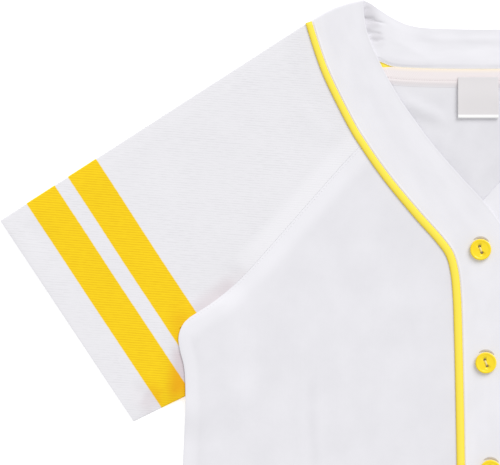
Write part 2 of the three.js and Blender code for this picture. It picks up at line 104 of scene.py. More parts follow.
NECK_ROWS = (
    BandRow((148.3, 18.3), (102.3, -1.2)),
    BandRow((141.5, 40), (99.2, 24)),
    BandRow((133.2, 62.7), (90.9, 46)),
    BandRow((110.5, 108.3), (71, 83)),
    BandRow((102.3, 121.5), (61.9, 96)),
    BandRow((83.2, 148.9), (45.6, 118.5)),
    BandRow((56.4, 181.6), (19.8, 148.5)),
)
PLACKET_ROWS = {
    Side.LEFT: (
        BandRow((37.1, 203.3), (0, 170.1)),
        BandRow((28.5, 215.5), (-14.4, 188.8)),
        BandRow((24.3, 231), (-26, 211)),
        BandRow((22.3, 252), (-30, 243)),
        BandRow((21.3, 280), (-30.9, 277)),
        BandRow((19, 394.6), (-33.3, 393)),
        BandRow((16, 690), (-36.3, 690)),
    ),
    Side.RIGHT: (
        BandRow((44.5, 197.5), (0, 170.1)),
        BandRow((37.5, 211), (-9, 183)),
        BandRow((34.6, 228), (-14.5, 203)),
        BandRow((34.2, 252), (-16, 240)),
        BandRow((34.7, 280), (-16, 277)),
        BandRow((37.2, 394.6), (-14, 393)),
        BandRow((40.2, 690), (-11, 690)),
    ),
}
RAGLAN_ROW = 4
BACK_BAND_ROWS = (
    BandRow((148.3, 18.3), (102.3, -1.2)),
    BandRow((134, 34), (96, 1.8)),
    BandRow((119, 43.0), (89, 6.6)),
    BandRow((102, 47.6), (79, 13.1)),
    BandRow((86, 51.9), (67.5, 18.8)),
    BandRow((77.5, 55.2), (62, 20.6)),
    BandRow((60, 56.8), (52, 22.4)),
    BandRow((30, 57.6), (28, 23.6)),
    BandRow((0, 57.8), (0, 24)),
)
BACK_RAGLAN_ROW = 2
RAGLAN = (
    (102.3, 121.5), (113.9, 133.2), (148.2, 171.6), (178, 205.5), (207.8, 238.1),
    (226.8, 254.3), (243.5, 265.4), (249, 268.9), (253.6, 273.1),
)
SEAM_END_ROW = 6
BACK_RAGLAN = ((135, 90), (160, 146), (190, 197), (220, 240), (243.5, 265.4), (253.6, 273.1))
SIDE_SEAM = (
    (253.6, 273.1), (256.7, 278.2), (258.8, 286.6), (257.3, 297.6), (254, 311), (252.8, 340),
    (255.1, 394.6), (259, 520), (263, 686),
)
CUFF = ((410.3, 187.1), (297.2, 357.2))
SLEEVE_HIDDEN = ((229, 294), (228, 323.2))
UNDERARM_LINE = ((243, 272), (240, 326))
UNDERARM_REACH = (20.0, 52.0)
TUCK_LINE = ((232, 290), (232, 326))
TUCK_REACH = (27.0, 44.0)
BODY_LIFT = 3.1
SLEEVE_LIFT = 1.5

# The edge of the body that rolls down onto the sleeve, and how high it stands over the cloth there
ROLLED_RAGLAN_ROW = 4
ROLLED_SIDE_ROW = 5
ROLL_REACH = 7.0
ROLL_ON_SEAM = 0.45
ROLL_ON_SLEEVE = CLOTH + 0.12
ROLL_CHANGE = (262.0, 282.0)
SLEEVE_SINK = 0.45


class PaintedShadeLine(NamedTuple):
    """A line of painted shade: its points, how near is full and how far is none, and its depth."""

    points: tuple[tuple[float, float], ...]
    reach: tuple[float, float]
    depth: float


# The shares of its length over which painted shade deepens from its two ends, and its depth there
PAINTED_SHADE_START = 0.25
PAINTED_SHADE_STOP = 0.15
PAINTED_SHADE_END = 0.35

# Painted shade on the sleeve beside the body, where the body's edge shades it
SLEEVE_PAINTED_SHADES = (
    PaintedShadeLine(((252, 290), (254, 312), (257, 338)), (4.0, 17.0), 1.0),
    PaintedShadeLine(((258, 262), (256, 280), (253, 296)), (1.0, 14.0), 0.42),
    PaintedShadeLine(((206, 237), (226, 253), (246, 268)), (2.0, 16.0), 0.62),
    PaintedShadeLine(((289, 334), (276, 342)), (3.0, 18.0), 0.5),
)

# Painted shade beside the shoulder fold, on the band behind the neck
BAND_PAINTED_SHADES = (
    PaintedShadeLine(((101, 3), (97, 13), (93, 26)), (3.0, 11.0), 0.62),
    PaintedShadeLine(((93, 27), (89, 35)), (3.0, 8.0), 0.6),
    PaintedShadeLine(((84, 50), (70, 53), (40, 55)), (0.5, 4.5), 0.2),
)


class Crease(NamedTuple):
    """A soft ridge along a line of points, or a trough where its height is negative."""

    points: tuple[tuple[float, float], ...]
    width: float
    height: float


# The share of its length over which a crease rises from each end
CREASE_TAPER = 0.3

# Folds of the upper layer, fronts and sleeves alike, so that they run on across the raglan seam
UPPER_CREASES = {
    Side.LEFT: (
        Crease(((164, 203), (194, 246), (219, 280), (228, 312)), 13, 1.1),
        Crease(((253, 262), (241, 252), (224, 238), (205, 221)), 6.5, -1.1),
        Crease(((396, 190), (378, 198), (362, 214)), 9, -0.7),
        Crease(((300, 322), (285, 338), (268, 338)), 7, -0.6),
        Crease(((236, 240), (206, 195), (172, 152), (150, 120)), 15, 0.8),
        Crease(((290, 232), (249, 169), (206, 118)), 17, -0.6),
        Crease(((320, 250), (300, 200), (262, 140)), 20, 0.7),
        Crease(((372, 250), (340, 190), (318, 150)), 16, -0.5),
        Crease(((160, 86), (140, 104), (126, 122)), 9, 0.5),
        Crease(((146, 296), (149, 348), (146, 399), (149, 480)), 4.5, -0.45),
        Crease(((139, 300), (142, 350), (139, 400), (141, 470)), 5, 0.35),
        Crease(((175, 300), (170, 360), (176, 440)), 36, -0.6),
        Crease(((110, 240), (132, 290), (128, 335)), 18, 0.5),
        Crease(((92, 190), (76, 222), (66, 262)), 13, -0.6),
        Crease(((90, 430), (118, 500), (128, 590)), 20, 0.9),
        Crease(((205, 420), (192, 520), (206, 650)), 15, 0.8),
        Crease(((58, 545), (95, 600), (152, 636)), 12, -0.7),
        Crease(((226, 350), (234, 430), (230, 520)), 9, 0.6),
        Crease(((165, 520), (158, 580), (170, 660)), 10, -0.5),
    ),
    Side.RIGHT: (
        Crease(((160, 200), (190, 240), (214, 284), (222, 318)), 14, 1.0),
        Crease(((252, 263), (239, 251), (222, 236), (200, 214)), 7, -1.0),
        Crease(((392, 196), (374, 204), (356, 222)), 10, -0.6),
        Crease(((304, 316), (290, 333), (272, 336)), 7, -0.6),
        Crease(((238, 238), (210, 188), (180, 150), (154, 124)), 14, 0.8),
        Crease(((296, 226), (252, 166), (212, 112)), 16, -0.6),
        Crease(((330, 246), (304, 196), (270, 136)), 19, 0.7),
        Crease(((158, 84), (142, 102), (124, 120)), 10, 0.5),
        Crease(((120, 285), (124, 350), (118, 430)), 6, 0.5),
        Crease(((182, 310), (176, 372), (182, 450)), 34, -0.6),
        Crease(((100, 226), (122, 280), (116, 330)), 17, 0.6),
        Crease(((86, 450), (110, 520), (120, 600)), 19, 0.9),
        Crease(((210, 400), (200, 500), (214, 620)), 16, 0.8),
        Crease(((66, 570), (100, 612), (150, 640)), 13, -0.7),
        Crease(((160, 480), (152, 560), (166, 650)), 11, 0.6),
    ),
}
LOFT = 0.75

# Folds of the back where it shows inside the neck, in the viewer's left half's coordinates
INSIDE_CREASES = (
    Crease(((74, 83), (62, 88), (50, 93.5), (38, 98), (28, 100.5)), 5, 1.9),
    Crease(((63, 95), (55, 105), (47, 115)), 3.5, -0.2),
    Crease(((58, 112), (42, 118), (24, 119)), 6, 0.5),
    Crease(((30, 120), (12, 142), (4, 160)), 9, 0.5),
    Crease(((-66, 88), (-46, 97), (-30, 106)), 6, 0.9),
    Crease(((-40, 116), (-20, 134), (-8, 156)), 8, 0.5),
)

# Wrinkles of the band behind the neck, beside the shoulder fold
BAND_CREASES = (
    Crease(((106, 9), (101, 7.4), (96, 4.5)), 1.1, -1.1),
    Crease(((108, 13), (98, 15), (89.5, 14)), 1.1, -1.6),
    Crease(((104, 17.5), (93, 17), (81, 19.5)), 0.9, -1.2),
    Crease(((106, 21.5), (94, 22), (84, 25)), 2.6, 0.9),
    Crease(((102, 29), (91, 27), (84, 29)), 1.6, -0.9),
    Crease(((98, 33), (90, 34), (82, 32)), 2.0, -0.9),
    Crease(((100, 37), (90, 37), (78, 38)), 1.8, 0.5),
    Crease(((94, 47), (86, 48.5), (78, 50)), 1.2, -0.7),
    Crease(((60, 30), (30, 33), (-20, 32)), 3.5, 0.4),
)
BAND_LOFT = 0.35


def smoothstep(value: Array, low: float, high: float) -> Array:
    """Rises softly with a value, from 0 at low to 1 at high."""
    share = np.clip((np.asarray(value, float) - low) / (high - low), 0.0, 1.0)
    return share * share * (3 - 2 * share)


def place(points: Sequence) -> Array:
    """Turns points given as across and down into x and y."""
    given = np.asarray(points, float)
    return np.stack([given[..., 0], BODY_LENGTH / 2 - given[..., 1]], axis=-1)


def down_of(at: Array) -> Array:
    """Gives how far down from the top of the shoulder points lie."""
    return BODY_LENGTH / 2 - at[..., 1]


def unit(vectors: Array) -> Array:
    """Gives vectors a length of one."""
    return vectors / np.linalg.norm(vectors, axis=-1, keepdims=True)


def step_counts(knots: Array, spacing: float = SPACING) -> list[int]:
    """Counts the steps that each span between knots takes."""
    lengths = np.linalg.norm(np.diff(knots, axis=0), axis=1)
    return [max(1, round(length / spacing)) for length in lengths]


def curve_through(knots: Array, counts: Sequence[int]) -> Array:
    """Draws a centripetal curve through knots.

    Args:
        knots: The points that the curve passes through.
        counts: The steps of each span.

    Returns:
        The points of the curve.
    """
    ring = np.vstack([2 * knots[0] - knots[1], knots, 2 * knots[-1] - knots[-2]])
    drawn = []
    for span, count in enumerate(counts):
        p0, p1, p2, p3 = ring[span:span + 4]
        d0, d1, d2 = (np.linalg.norm(b - a) ** 0.5 for a, b in ((p0, p1), (p1, p2), (p2, p3)))
        leave = ((p1 - p0) / d0 - (p2 - p0) / (d0 + d1) + (p2 - p1) / d1) * d1
        arrive = ((p2 - p1) / d1 - (p3 - p1) / (d1 + d2) + (p3 - p2) / d2) * d1
        t = (np.arange(count) / count)[:, None]
        square = (-3 * p1 + 3 * p2 - 2 * leave - arrive) * t ** 2
        cube = (2 * p1 - 2 * p2 + leave + arrive) * t ** 3
        drawn.append(p1 + leave * t + square + cube)
    drawn.append(knots[-1:])
    return np.vstack(drawn)


def smooth_line(points: Sequence, spacing: float = SPACING) -> Array:
    """Draws an evenly stepped curve, as x and y, through points given as across and down."""
    knots = place(points)
    return curve_through(knots, step_counts(knots, spacing))


def travelled(points: Array) -> Array:
    """Gives the length of a line up to each of its points."""
    steps = np.linalg.norm(np.diff(points, axis=0), axis=1)
    return np.concatenate([[0.0], np.cumsum(steps)])


def marks_along(points: Array) -> Array:
    """Gives how far along a line each of its points lies, from 0 to 1."""
    lengths = travelled(points)
    return lengths / lengths[-1]


def resampled(points: Array, shares: Array | int) -> Array:
    """Finds points on a line.

    Args:
        points: The line.
        shares: Shares of its length, from 0 to 1, or how many points to space evenly.

    Returns:
        The points at those shares.
    """
    if isinstance(shares, int):
        shares = np.linspace(0, 1, shares)
    marks = marks_along(points)
    return np.stack([np.interp(shares, marks, points[:, k]) for k in range(points.shape[1])], axis=1)


def with_mirror(points: Array) -> Array:
    """Joins a line that ends at the centre to its mirror image."""
    return np.vstack([points, (points[:-1] * (-1, 1))[::-1]])


def sideways(points: Array) -> Array:
    """Finds the way to the left of a line, longer at corners so that offsets mitre.

    Args:
        points: The line.

    Returns:
        The way at each point.
    """
    along = unit(np.diff(points, axis=0))
    normals = np.stack([-along[:, 1], along[:, 0]], axis=1)
    after = np.vstack([normals, normals[-1:]])
    middle = unit(np.vstack([normals[:1], normals]) + after)
    return middle / np.sum(middle * after, axis=1)[:, None]


def offset_line(points: Array, distance: float) -> Array:
    """Moves a line sideways, to the left of its direction where the distance is positive."""
    return points + sideways(points) * distance


def distance_to_line(at: Array, line: Array) -> tuple[Array, Array]:
    """Measures points against a line.

    Args:
        at: Points, with x and y last.
        line: The line's points.

    Returns:
        Each point's distance to the line, and how far along the line it is nearest, from 0 to 1.
    """
    marks = marks_along(line)
    best = np.full(at.shape[:-1], np.inf)
    along = np.zeros(at.shape[:-1])
    for start, stop, low, high in zip(line[:-1], line[1:], marks[:-1], marks[1:]):
        step = stop - start
        share = np.clip((at - start) @ step / (step @ step), 0.0, 1.0)
        distance = np.linalg.norm(at - start - share[..., None] * step, axis=-1)
        nearer = distance < best
        best = np.where(nearer, distance, best)
        along = np.where(nearer, low + share * (high - low), along)
    return best, along


def away(at: Array, line: Array, reach: tuple[float, float]) -> Array:
    """Rises from 0 to 1 as points leave a line, over a reach of distances."""
    return smoothstep(distance_to_line(at, line)[0], *reach)


def crease_heights(at: Array, creases: Sequence[Crease]) -> Array:
    """Adds up the heights of some creases.

    Args:
        at: Points, with x and y last.
        creases: The creases.

    Returns:
        The height that they give each point.
    """
    total = np.zeros(at.shape[:-1])
    for crease in creases:
        distance, along = distance_to_line(at, smooth_line(crease.points, LOOSE_SPACING))
        taper = smoothstep(along, 0, CREASE_TAPER) * smoothstep(1 - along, 0, CREASE_TAPER)
        total += crease.height * taper * np.exp(-((distance / crease.width) ** 2))
    return total


def painted_shade_at(at: Array, painted_shades: Sequence[PaintedShadeLine]) -> Array:
    """Gives how deep points lie in painted shade, which stands for places that light hardly reaches.

    Args:
        at: Points, with x and y last.
        painted_shades: The lines of painted shade.

    Returns:
        The depth at each point, from 0 to 1.
    """
    total = np.zeros(at.shape[:-1])
    for painted_shade in painted_shades:
        distance, along = distance_to_line(at, smooth_line(painted_shade.points, LOOSE_SPACING))
        ends = smoothstep(along, 0, PAINTED_SHADE_START) * smoothstep(1 - along, 0, PAINTED_SHADE_STOP)
        depth = painted_shade.depth * (PAINTED_SHADE_END + (1 - PAINTED_SHADE_END) * ends)
        total = np.maximum(total, depth * (1 - smoothstep(distance, *painted_shade.reach)))
    return total


def never_below(height: Array, softness: float = 0.3) -> Array:
    """Keeps heights above zero, with a soft turn instead of a kink."""
    return (height + np.sqrt(height ** 2 + softness ** 2)) / 2


def coons_patch(top: Array, bottom: Array, left: Array, right: Array) -> Array:
    """Fills a patch between four lines that meet at its corners.

    Args:
        top: The line along the first row.
        bottom: The line along the last row.
        left: The line along the first column.
        right: The line along the last column.

    Returns:
        The patch's points, by row and column.
    """
    over = np.linspace(0, 1, len(top))[None, :, None]
    v = marks_along(left)[:, None, None] * (1 - over) + marks_along(right)[:, None, None] * over
    u = marks_along(top)[None, :, None] * (1 - v) + marks_along(bottom)[None, :, None] * v
    rows = top[None] * (1 - v) + bottom[None] * v
    columns = left[:, None] * (1 - u) + right[:, None] * u
    upper = top[0] * (1 - u) * (1 - v) + top[-1] * u * (1 - v)
    lower = left[-1] * (1 - u) * v + right[-1] * u * v
    return rows + columns - upper - lower


def raised(flat: Array, heights: Array) -> Array:
    """Gives flat points their height."""
    return np.concatenate([flat, heights[..., None]], axis=-1)


def lifted(flat: Array, heights: Array, side: Side) -> Array:
    """Gives flat points their height and turns a side's own x to the jersey's."""
    return np.stack([side.mirror * flat[..., 0], flat[..., 1], heights], axis=-1)


def paired(first: Array, second: Array) -> Array:
    """Gives the place on the cloth from its two coordinates."""
    return np.stack(np.broadcast_arrays(first, second), axis=-1)


def finished_mesh(name: str, build: bmesh.types.BMesh) -> bpy.types.Mesh:
    """Makes a mesh of what has been built.

    Args:
        name: The mesh's name.
        build: What has been built, which is freed.

    Returns:
        The mesh.
    """
    mesh = bpy.data.meshes.new(name)
    build.to_mesh(mesh)
    build.free()
    return mesh


def closed_shell(build: bmesh.types.BMesh) -> None:
    """Merges points that meet and turns all faces outwards."""
    bmesh.ops.remove_doubles(build, verts=build.verts, dist=MERGE)
    bmesh.ops.recalc_face_normals(build, faces=build.faces)


def grid_mesh(
    name: str, surface: Array, uv: Array, shades: dict[str, Array] | None = None,
    is_round: bool = False, has_caps: bool = False,
) -> bpy.types.Mesh:
    """Makes a grid and moves its points onto a surface.

    Args:
        name: The mesh's name.
        surface: Where each point goes, by row and column, in millimetres.
        uv: The place of each point on the cloth, in millimetres.
        shades: Values for named point attributes.
        is_round: Whether the last column meets the first, and is merged with it.
        has_caps: Whether the open ends of a round surface are closed.

    Returns:
        The mesh, in metres.
    """
    rows, columns = surface.shape[:2]
    build = bmesh.new()
    bmesh.ops.create_grid(build, x_segments=columns - 1, y_segments=rows - 1, size=0.5)
    mesh = finished_mesh(name, build)
    corners = np.empty(3 * len(mesh.vertices), np.float32)
    mesh.vertices.foreach_get("co", corners)
    corners = corners.reshape(-1, 3)
    row = np.rint((corners[:, 1] + 0.5) * (rows - 1)).astype(int)
    column = np.rint((corners[:, 0] + 0.5) * (columns - 1)).astype(int)
    mesh.vertices.foreach_set("co", (surface[row, column] * MM).astype(np.float32).ravel())
    loop_vertices = np.empty(len(mesh.loops), np.int32)
    mesh.loops.foreach_get("vertex_index", loop_vertices)
    layer = mesh.uv_layers.new(name="cloth")
    on_loops = uv[row[loop_vertices], column[loop_vertices]]
    layer.data.foreach_set("uv", on_loops.astype(np.float32).ravel())
    for shade, values in (shades or {}).items():
        attribute = mesh.attributes.new(shade, "FLOAT", "POINT")
        attribute.data.foreach_set("value", values[row, column].astype(np.float32))
    if is_round:
        build = bmesh.new()
        build.from_mesh(mesh)
        bmesh.ops.remove_doubles(build, verts=build.verts, dist=MERGE)
        if has_caps:
            rims = [edge for edge in build.edges if edge.is_boundary]
            bmesh.ops.holes_fill(build, edges=rims, sides=0)
        bmesh.ops.recalc_face_normals(build, faces=build.faces)
        build.to_mesh(mesh)
        build.free()
    mesh.update()
    return mesh


def linked(name: str, data: bpy.types.ID) -> bpy.types.Object:
    """Puts a mesh, a lamp or a camera into the scene.

    Args:
        name: The object's name.
        data: The mesh, lamp or camera.

    Returns:
        The object.
    """
    thing = bpy.data.objects.new(name, data)
    bpy.context.scene.collection.objects.link(thing)
    return thing


def add_piece(
    mesh: bpy.types.Mesh, finishes: Sequence[bpy.types.Material], slot: str, *nodes: str,
) -> bpy.types.Object:
    """Adds a piece of the jersey to the scene.

    Args:
        mesh: The piece's mesh, whose name it takes.
        finishes: Its materials.
        slot: The record's material slot; not used.
        nodes: The solids that it stands for.

    Returns:
        The piece.
    """
    piece = linked(mesh.name, mesh)
    for finish in finishes:
        mesh.materials.append(finish)
    mesh.shade_smooth()
    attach(piece, BODY)
    if nodes:
        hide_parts(*nodes)
    return piece


def give_wall(piece: bpy.types.Object, thickness: float = CLOTH, soft_edge: float = 0.28) -> None:
    """Gives a sheet its thickness, half to each side, and softens its rim.

    Args:
        piece: The sheet.
        thickness: How thick it becomes.
        soft_edge: The width of the rim's rounding.
    """
    wall = piece.modifiers.new("wall", "SOLIDIFY")
    wall.thickness = thickness * MM
    wall.offset = 0.0
    rim = piece.modifiers.new("soft rim", "BEVEL")
    rim.width = soft_edge * MM
    rim.segments = 3
    rim.limit_method = "ANGLE"
    rim.angle_limit = math.radians(60)


def linear(colour: str) -> tuple[float, float, float, float]:
    """Turns an sRGB hex colour to linear values with full alpha."""
    shares = (int(colour[i:i + 2], 16) / 255 for i in (1, 3, 5))
    return (*(s / 12.92 if s <= 0.04045 else ((s + 0.055) / 1.055) ** 2.4 for s in shares), 1.0)


def add_node(
    tree: bpy.types.NodeTree, kind: str, settings: dict | None = None, links: dict | None = None,
    output: str | int = 0,
) -> bpy.types.NodeSocket | None:
    """Adds a shader node with its settings and links.

    Args:
        tree: The node tree.
        kind: The node's type, less the words that they all start with.
        settings: Values for its properties, or for its sockets by name or number.
        links: Outputs that its inputs take, by the input's name or number.
        output: The output that is asked for, by name or number.

    Returns:
        That output, if the node has any.
    """
    node = tree.nodes.new("ShaderNode" + kind)
    for key, value in (settings or {}).items():
        if isinstance(key, str) and hasattr(node, key):
            setattr(node, key, value)
        else:
            node.inputs[key].default_value = value
    for key, source in (links or {}).items():
        tree.links.new(source, node.inputs[key])
    return node.outputs[output] if len(node.outputs) else None


def on_cloth(
    tree: bpy.types.NodeTree, pitch: tuple[float, float], turn: float = 0.0,
) -> bpy.types.NodeSocket:
    """Gives coordinates on the cloth that count repeats of a pattern.

    Args:
        tree: The node tree.
        pitch: The size of a repeat across and along the cloth, in millimetres.
        turn: How far the pattern is turned, in degrees.

    Returns:
        The output that gives the coordinates.
    """
    place_on_cloth = add_node(tree, "UVMap", {"uv_map": "cloth"})
    turned = add_node(
        tree, "Mapping", {"Rotation": (0, 0, math.radians(turn))}, {"Vector": place_on_cloth})
    scale = (1 / pitch[0], 1 / pitch[1], 1)
    return add_node(tree, "Mapping", {"Scale": scale}, {"Vector": turned})


@dataclass(frozen=True)
class Finish:
    """What one of the jersey's surfaces is made of."""

    name: str

    def surface(self, tree: bpy.types.NodeTree) -> tuple[dict, dict]:
        """Gives the shader's settings, and the outputs that it takes."""
        raise NotImplementedError

    def build(self) -> bpy.types.Material:
        """Makes the material.

        Returns:
            The material.
        """
        material = bpy.data.materials.new(self.name)
        material.use_nodes = True
        tree = material.node_tree
        tree.nodes.clear()
        shader = add_node(tree, "BsdfPrincipled", *self.surface(tree))
        add_node(tree, "OutputMaterial", links={"Surface": shader})
        return material


@dataclass(frozen=True)
class SmoothKnit(Finish):
    """Polyester interlock knit: fine even wales, matt, a little whiter where seams double it."""

    colour: str
    doubled: str
    shaded: str
    wale: float = 1.15
    course: float = 1.5

    def surface(self, tree: bpy.types.NodeTree) -> tuple[dict, dict]:
        """Draws the loops, the fuzz and a faint unevenness.

        Args:
            tree: The material's nodes.

        Returns:
            The shader's settings, and the outputs that it takes.
        """
        loops = add_node(
            tree, "TexWave", {**BANDS, "Distortion": 2.5, "Detail": 1.0, "Detail Scale": 1.0},
            {"Vector": on_cloth(tree, (self.wale * WAVE, self.course * 6.0))}, "Fac")
        mottle = add_node(
            tree, "TexNoise", {"Scale": 1.0, "Detail": 3.0, "Roughness": 0.55},
            {"Vector": on_cloth(tree, (34.0, 42.0), 20)})
        fuzz = add_node(tree, "TexNoise", NOISE, {"Vector": on_cloth(tree, (0.9, 0.9))})
        seam = add_node(tree, "Attribute", {"attribute_name": "seam_near"}, output="Fac")
        light = add_node(tree, "MapRange", {1: 0.35, 2: 0.65}, {0: mottle})
        tone = add_node(
            tree, "Mix", {**COLOURS, 6: linear(self.shaded), 7: linear(self.colour)}, {0: light}, 2)
        colour = add_node(tree, "Mix", {**COLOURS, 7: linear(self.doubled)}, {0: seam, 6: tone}, 2)
        relief = add_node(tree, "Math", {"operation": "ADD"}, {0: loops, 1: fuzz})
        bump = add_node(
            tree, "Bump", {"Strength": 0.25, "Distance": 0.03 * MM}, {"Height": relief})
        soft = add_node(
            tree, "Bump", {"Strength": 0.6, "Distance": 0.5 * MM},
            {"Height": mottle, "Normal": bump})
        settings = {
            "Roughness": 0.82, "Specular IOR Level": 0.18, "Sheen Weight": 0.04,
            "Sheen Roughness": 0.5}
        return settings, {"Base Color": colour, "Normal": soft}


@dataclass(frozen=True)
class RibbedKnit(Finish):
    """Sleeve knit: short broken crosswise ribs, with two knitted-in stripes round the cuff end."""

    name: str = "ribbed polyester knit"
    colour: str = "#edecf0"
    groove: str = "#e5e4e8"
    doubled: str = "#f1f0f4"
    # Painted shade: the white and the yellow that the sleeve takes beside the body's edge
    shaded: str = "#d9ced3"
    stripe_shaded: str = "#efb01a"
    stripe: str = "#fed81f"
    stripe_groove: str = "#f0c31a"
    stripes: tuple[tuple[float, float], ...] = ((26.3, 54.5), (67.6, 95.8))
    stripe_softness: float = 0.35
    rib: float = 2.06
    rib_length: float = 8.0
    rib_turn: float = 4.0

    def in_stripes(self, tree: bpy.types.NodeTree) -> bpy.types.NodeSocket:
        """Finds the stripes, whose edges waver by a stitch.

        Args:
            tree: The material's nodes.

        Returns:
            The output that gives 1 inside the stripes and 0 outside.
        """
        wobble = add_node(
            tree, "TexNoise", {"Scale": 1.0, "Detail": 1.0}, {"Vector": on_cloth(tree, (2.2, 2.2))})
        waver = add_node(tree, "MapRange", {1: 0.3, 2: 0.7, 3: -0.12, 4: 0.12}, {0: wobble})
        cuff = add_node(tree, "Attribute", {"attribute_name": "from_cuff"}, output="Fac")
        uneven = add_node(tree, "Math", {"operation": "ADD"}, {0: cuff, 1: waver})
        shares = []
        for start, stop in self.stripes:
            middle, half = (start + stop) / 2, (stop - start) / 2
            off = add_node(tree, "Math", {"operation": "SUBTRACT", 1: middle}, {0: uneven})
            distance = add_node(tree, "Math", {"operation": "ABSOLUTE"}, {0: off})
            shares.append(add_node(
                tree, "MapRange",
                {1: half - self.stripe_softness, 2: half + self.stripe_softness, 3: 1.0, 4: 0.0},
                {0: distance}))
        return add_node(tree, "Math", {"operation": "MAXIMUM"}, {0: shares[0], 1: shares[1]})

    def surface(self, tree: bpy.types.NodeTree) -> tuple[dict, dict]:
        """Draws the ribs in white and in yellow, and darkens both with painted shade beside the body.

        Args:
            tree: The material's nodes.

        Returns:
            The shader's settings, and the outputs that it takes.
        """
        stripes = self.in_stripes(tree)
        dashes = add_node(
            tree, "TexNoise", {**NOISE, "Roughness": 0.6},
            {"Vector": on_cloth(tree, (self.rib_length, 0.8 * self.rib), self.rib_turn)})
        patches = add_node(tree, "TexNoise", NOISE, {"Vector": on_cloth(tree, (30.0, 22.0))})
        ribs = add_node(
            tree, "TexWave",
            {**BANDS, "bands_direction": "Y", "Distortion": 1.2, "Detail": 1.0,
             "Detail Scale": 0.6},
            {"Vector": on_cloth(tree, (20.0, self.rib * WAVE), self.rib_turn)}, "Fac")
        gaps = add_node(tree, "MapRange", {1: 0.36, 2: 0.6}, {0: dashes})
        broken = add_node(tree, "Math", {"operation": "MULTIPLY"}, {0: ribs, 1: gaps})
        worn = add_node(tree, "MapRange", {1: 0.35, 2: 0.65, 3: 0.35, 4: 1.0}, {0: patches})
        shown = add_node(tree, "Math", {"operation": "MULTIPLY"}, {0: broken, 1: worn})
        plain = add_node(
            tree, "Mix", {**COLOURS, 6: linear(self.colour), 7: linear(self.groove)},
            {0: shown}, 2)
        seam = add_node(tree, "Attribute", {"attribute_name": "seam_near"}, output="Fac")
        white = add_node(tree, "Mix", {**COLOURS, 7: linear(self.doubled)}, {0: seam, 6: plain}, 2)
        steady = add_node(tree, "MapRange", {1: 0.3, 2: 0.62, 3: 0.4, 4: 1.0}, {0: dashes})
        across = add_node(tree, "Math", {"operation": "MULTIPLY"}, {0: ribs, 1: steady})
        yellow = add_node(
            tree, "Mix", {**COLOURS, 6: linear(self.stripe), 7: linear(self.stripe_groove)},
            {0: across}, 2)
        lit = add_node(tree, "Mix", COLOURS, {0: stripes, 6: white, 7: yellow}, 2)
        # Painted shade: the knit's colour turns to the shade tints where the in_painted_shade
        # attribute rises
        painted_shade_tint = add_node(
            tree, "Mix", {**COLOURS, 6: linear(self.shaded), 7: linear(self.stripe_shaded)},
            {0: stripes}, 2)
        painted_shade = add_node(tree, "Attribute", {"attribute_name": "in_painted_shade"}, output="Fac")
        colour = add_node(tree, "Mix", COLOURS, {0: painted_shade, 6: lit, 7: painted_shade_tint}, 2)
        relief = add_node(tree, "Math", {"operation": "SUBTRACT"}, {0: dashes, 1: broken})
        bump = add_node(tree, "Bump", {"Strength": 0.4, "Distance": 0.14 * MM}, {"Height": relief})
        settings = {
            "Roughness": 0.85, "Specular IOR Level": 0.12, "Sheen Weight": 0.03,
            "Sheen Roughness": 0.5}
        return settings, {"Base Color": colour, "Normal": bump}


@dataclass(frozen=True)
class InterlinedCloth(Finish):
    """Band cloth: the body knit stiffened with interlining, so smoother and whiter."""

    name: str = "interlined polyester band"
    colour: str = "#efeef3"
    shaded: str = "#ebeaef"
    # Painted shade: the colour of the band where it falls away from the shoulder fold
    painted_shade: str = "#d5d2d8"

    def surface(self, tree: bpy.types.NodeTree) -> tuple[dict, dict]:
        """Draws a fine grain and a faint unevenness, and darkens with painted shade beside the
        shoulder fold.

        Args:
            tree: The material's nodes.

        Returns:
            The shader's settings, and the outputs that it takes.
        """
        weave = add_node(tree, "TexNoise", NOISE, {"Vector": on_cloth(tree, (0.8, 1.2))})
        mottle = add_node(tree, "TexNoise", NOISE, {"Vector": on_cloth(tree, (18.0, 40.0))})
        light = add_node(tree, "MapRange", {1: 0.35, 2: 0.65}, {0: mottle})
        lit = add_node(
            tree, "Mix", {**COLOURS, 6: linear(self.shaded), 7: linear(self.colour)}, {0: light}, 2)
        painted_shade = add_node(tree, "Attribute", {"attribute_name": "in_painted_shade"}, output="Fac")
        colour = add_node(tree, "Mix", {**COLOURS, 7: linear(self.painted_shade)}, {0: painted_shade, 6: lit}, 2)
        fine = add_node(tree, "Bump", {"Strength": 0.3, "Distance": 0.05 * MM}, {"Height": weave})
        soft = add_node(
            tree, "Bump", {"Strength": 0.6, "Distance": 0.35 * MM},
            {"Height": mottle, "Normal": fine})
        settings = {"Roughness": 0.75, "Specular IOR Level": 0.2}
        return settings, {"Base Color": colour, "Normal": soft}


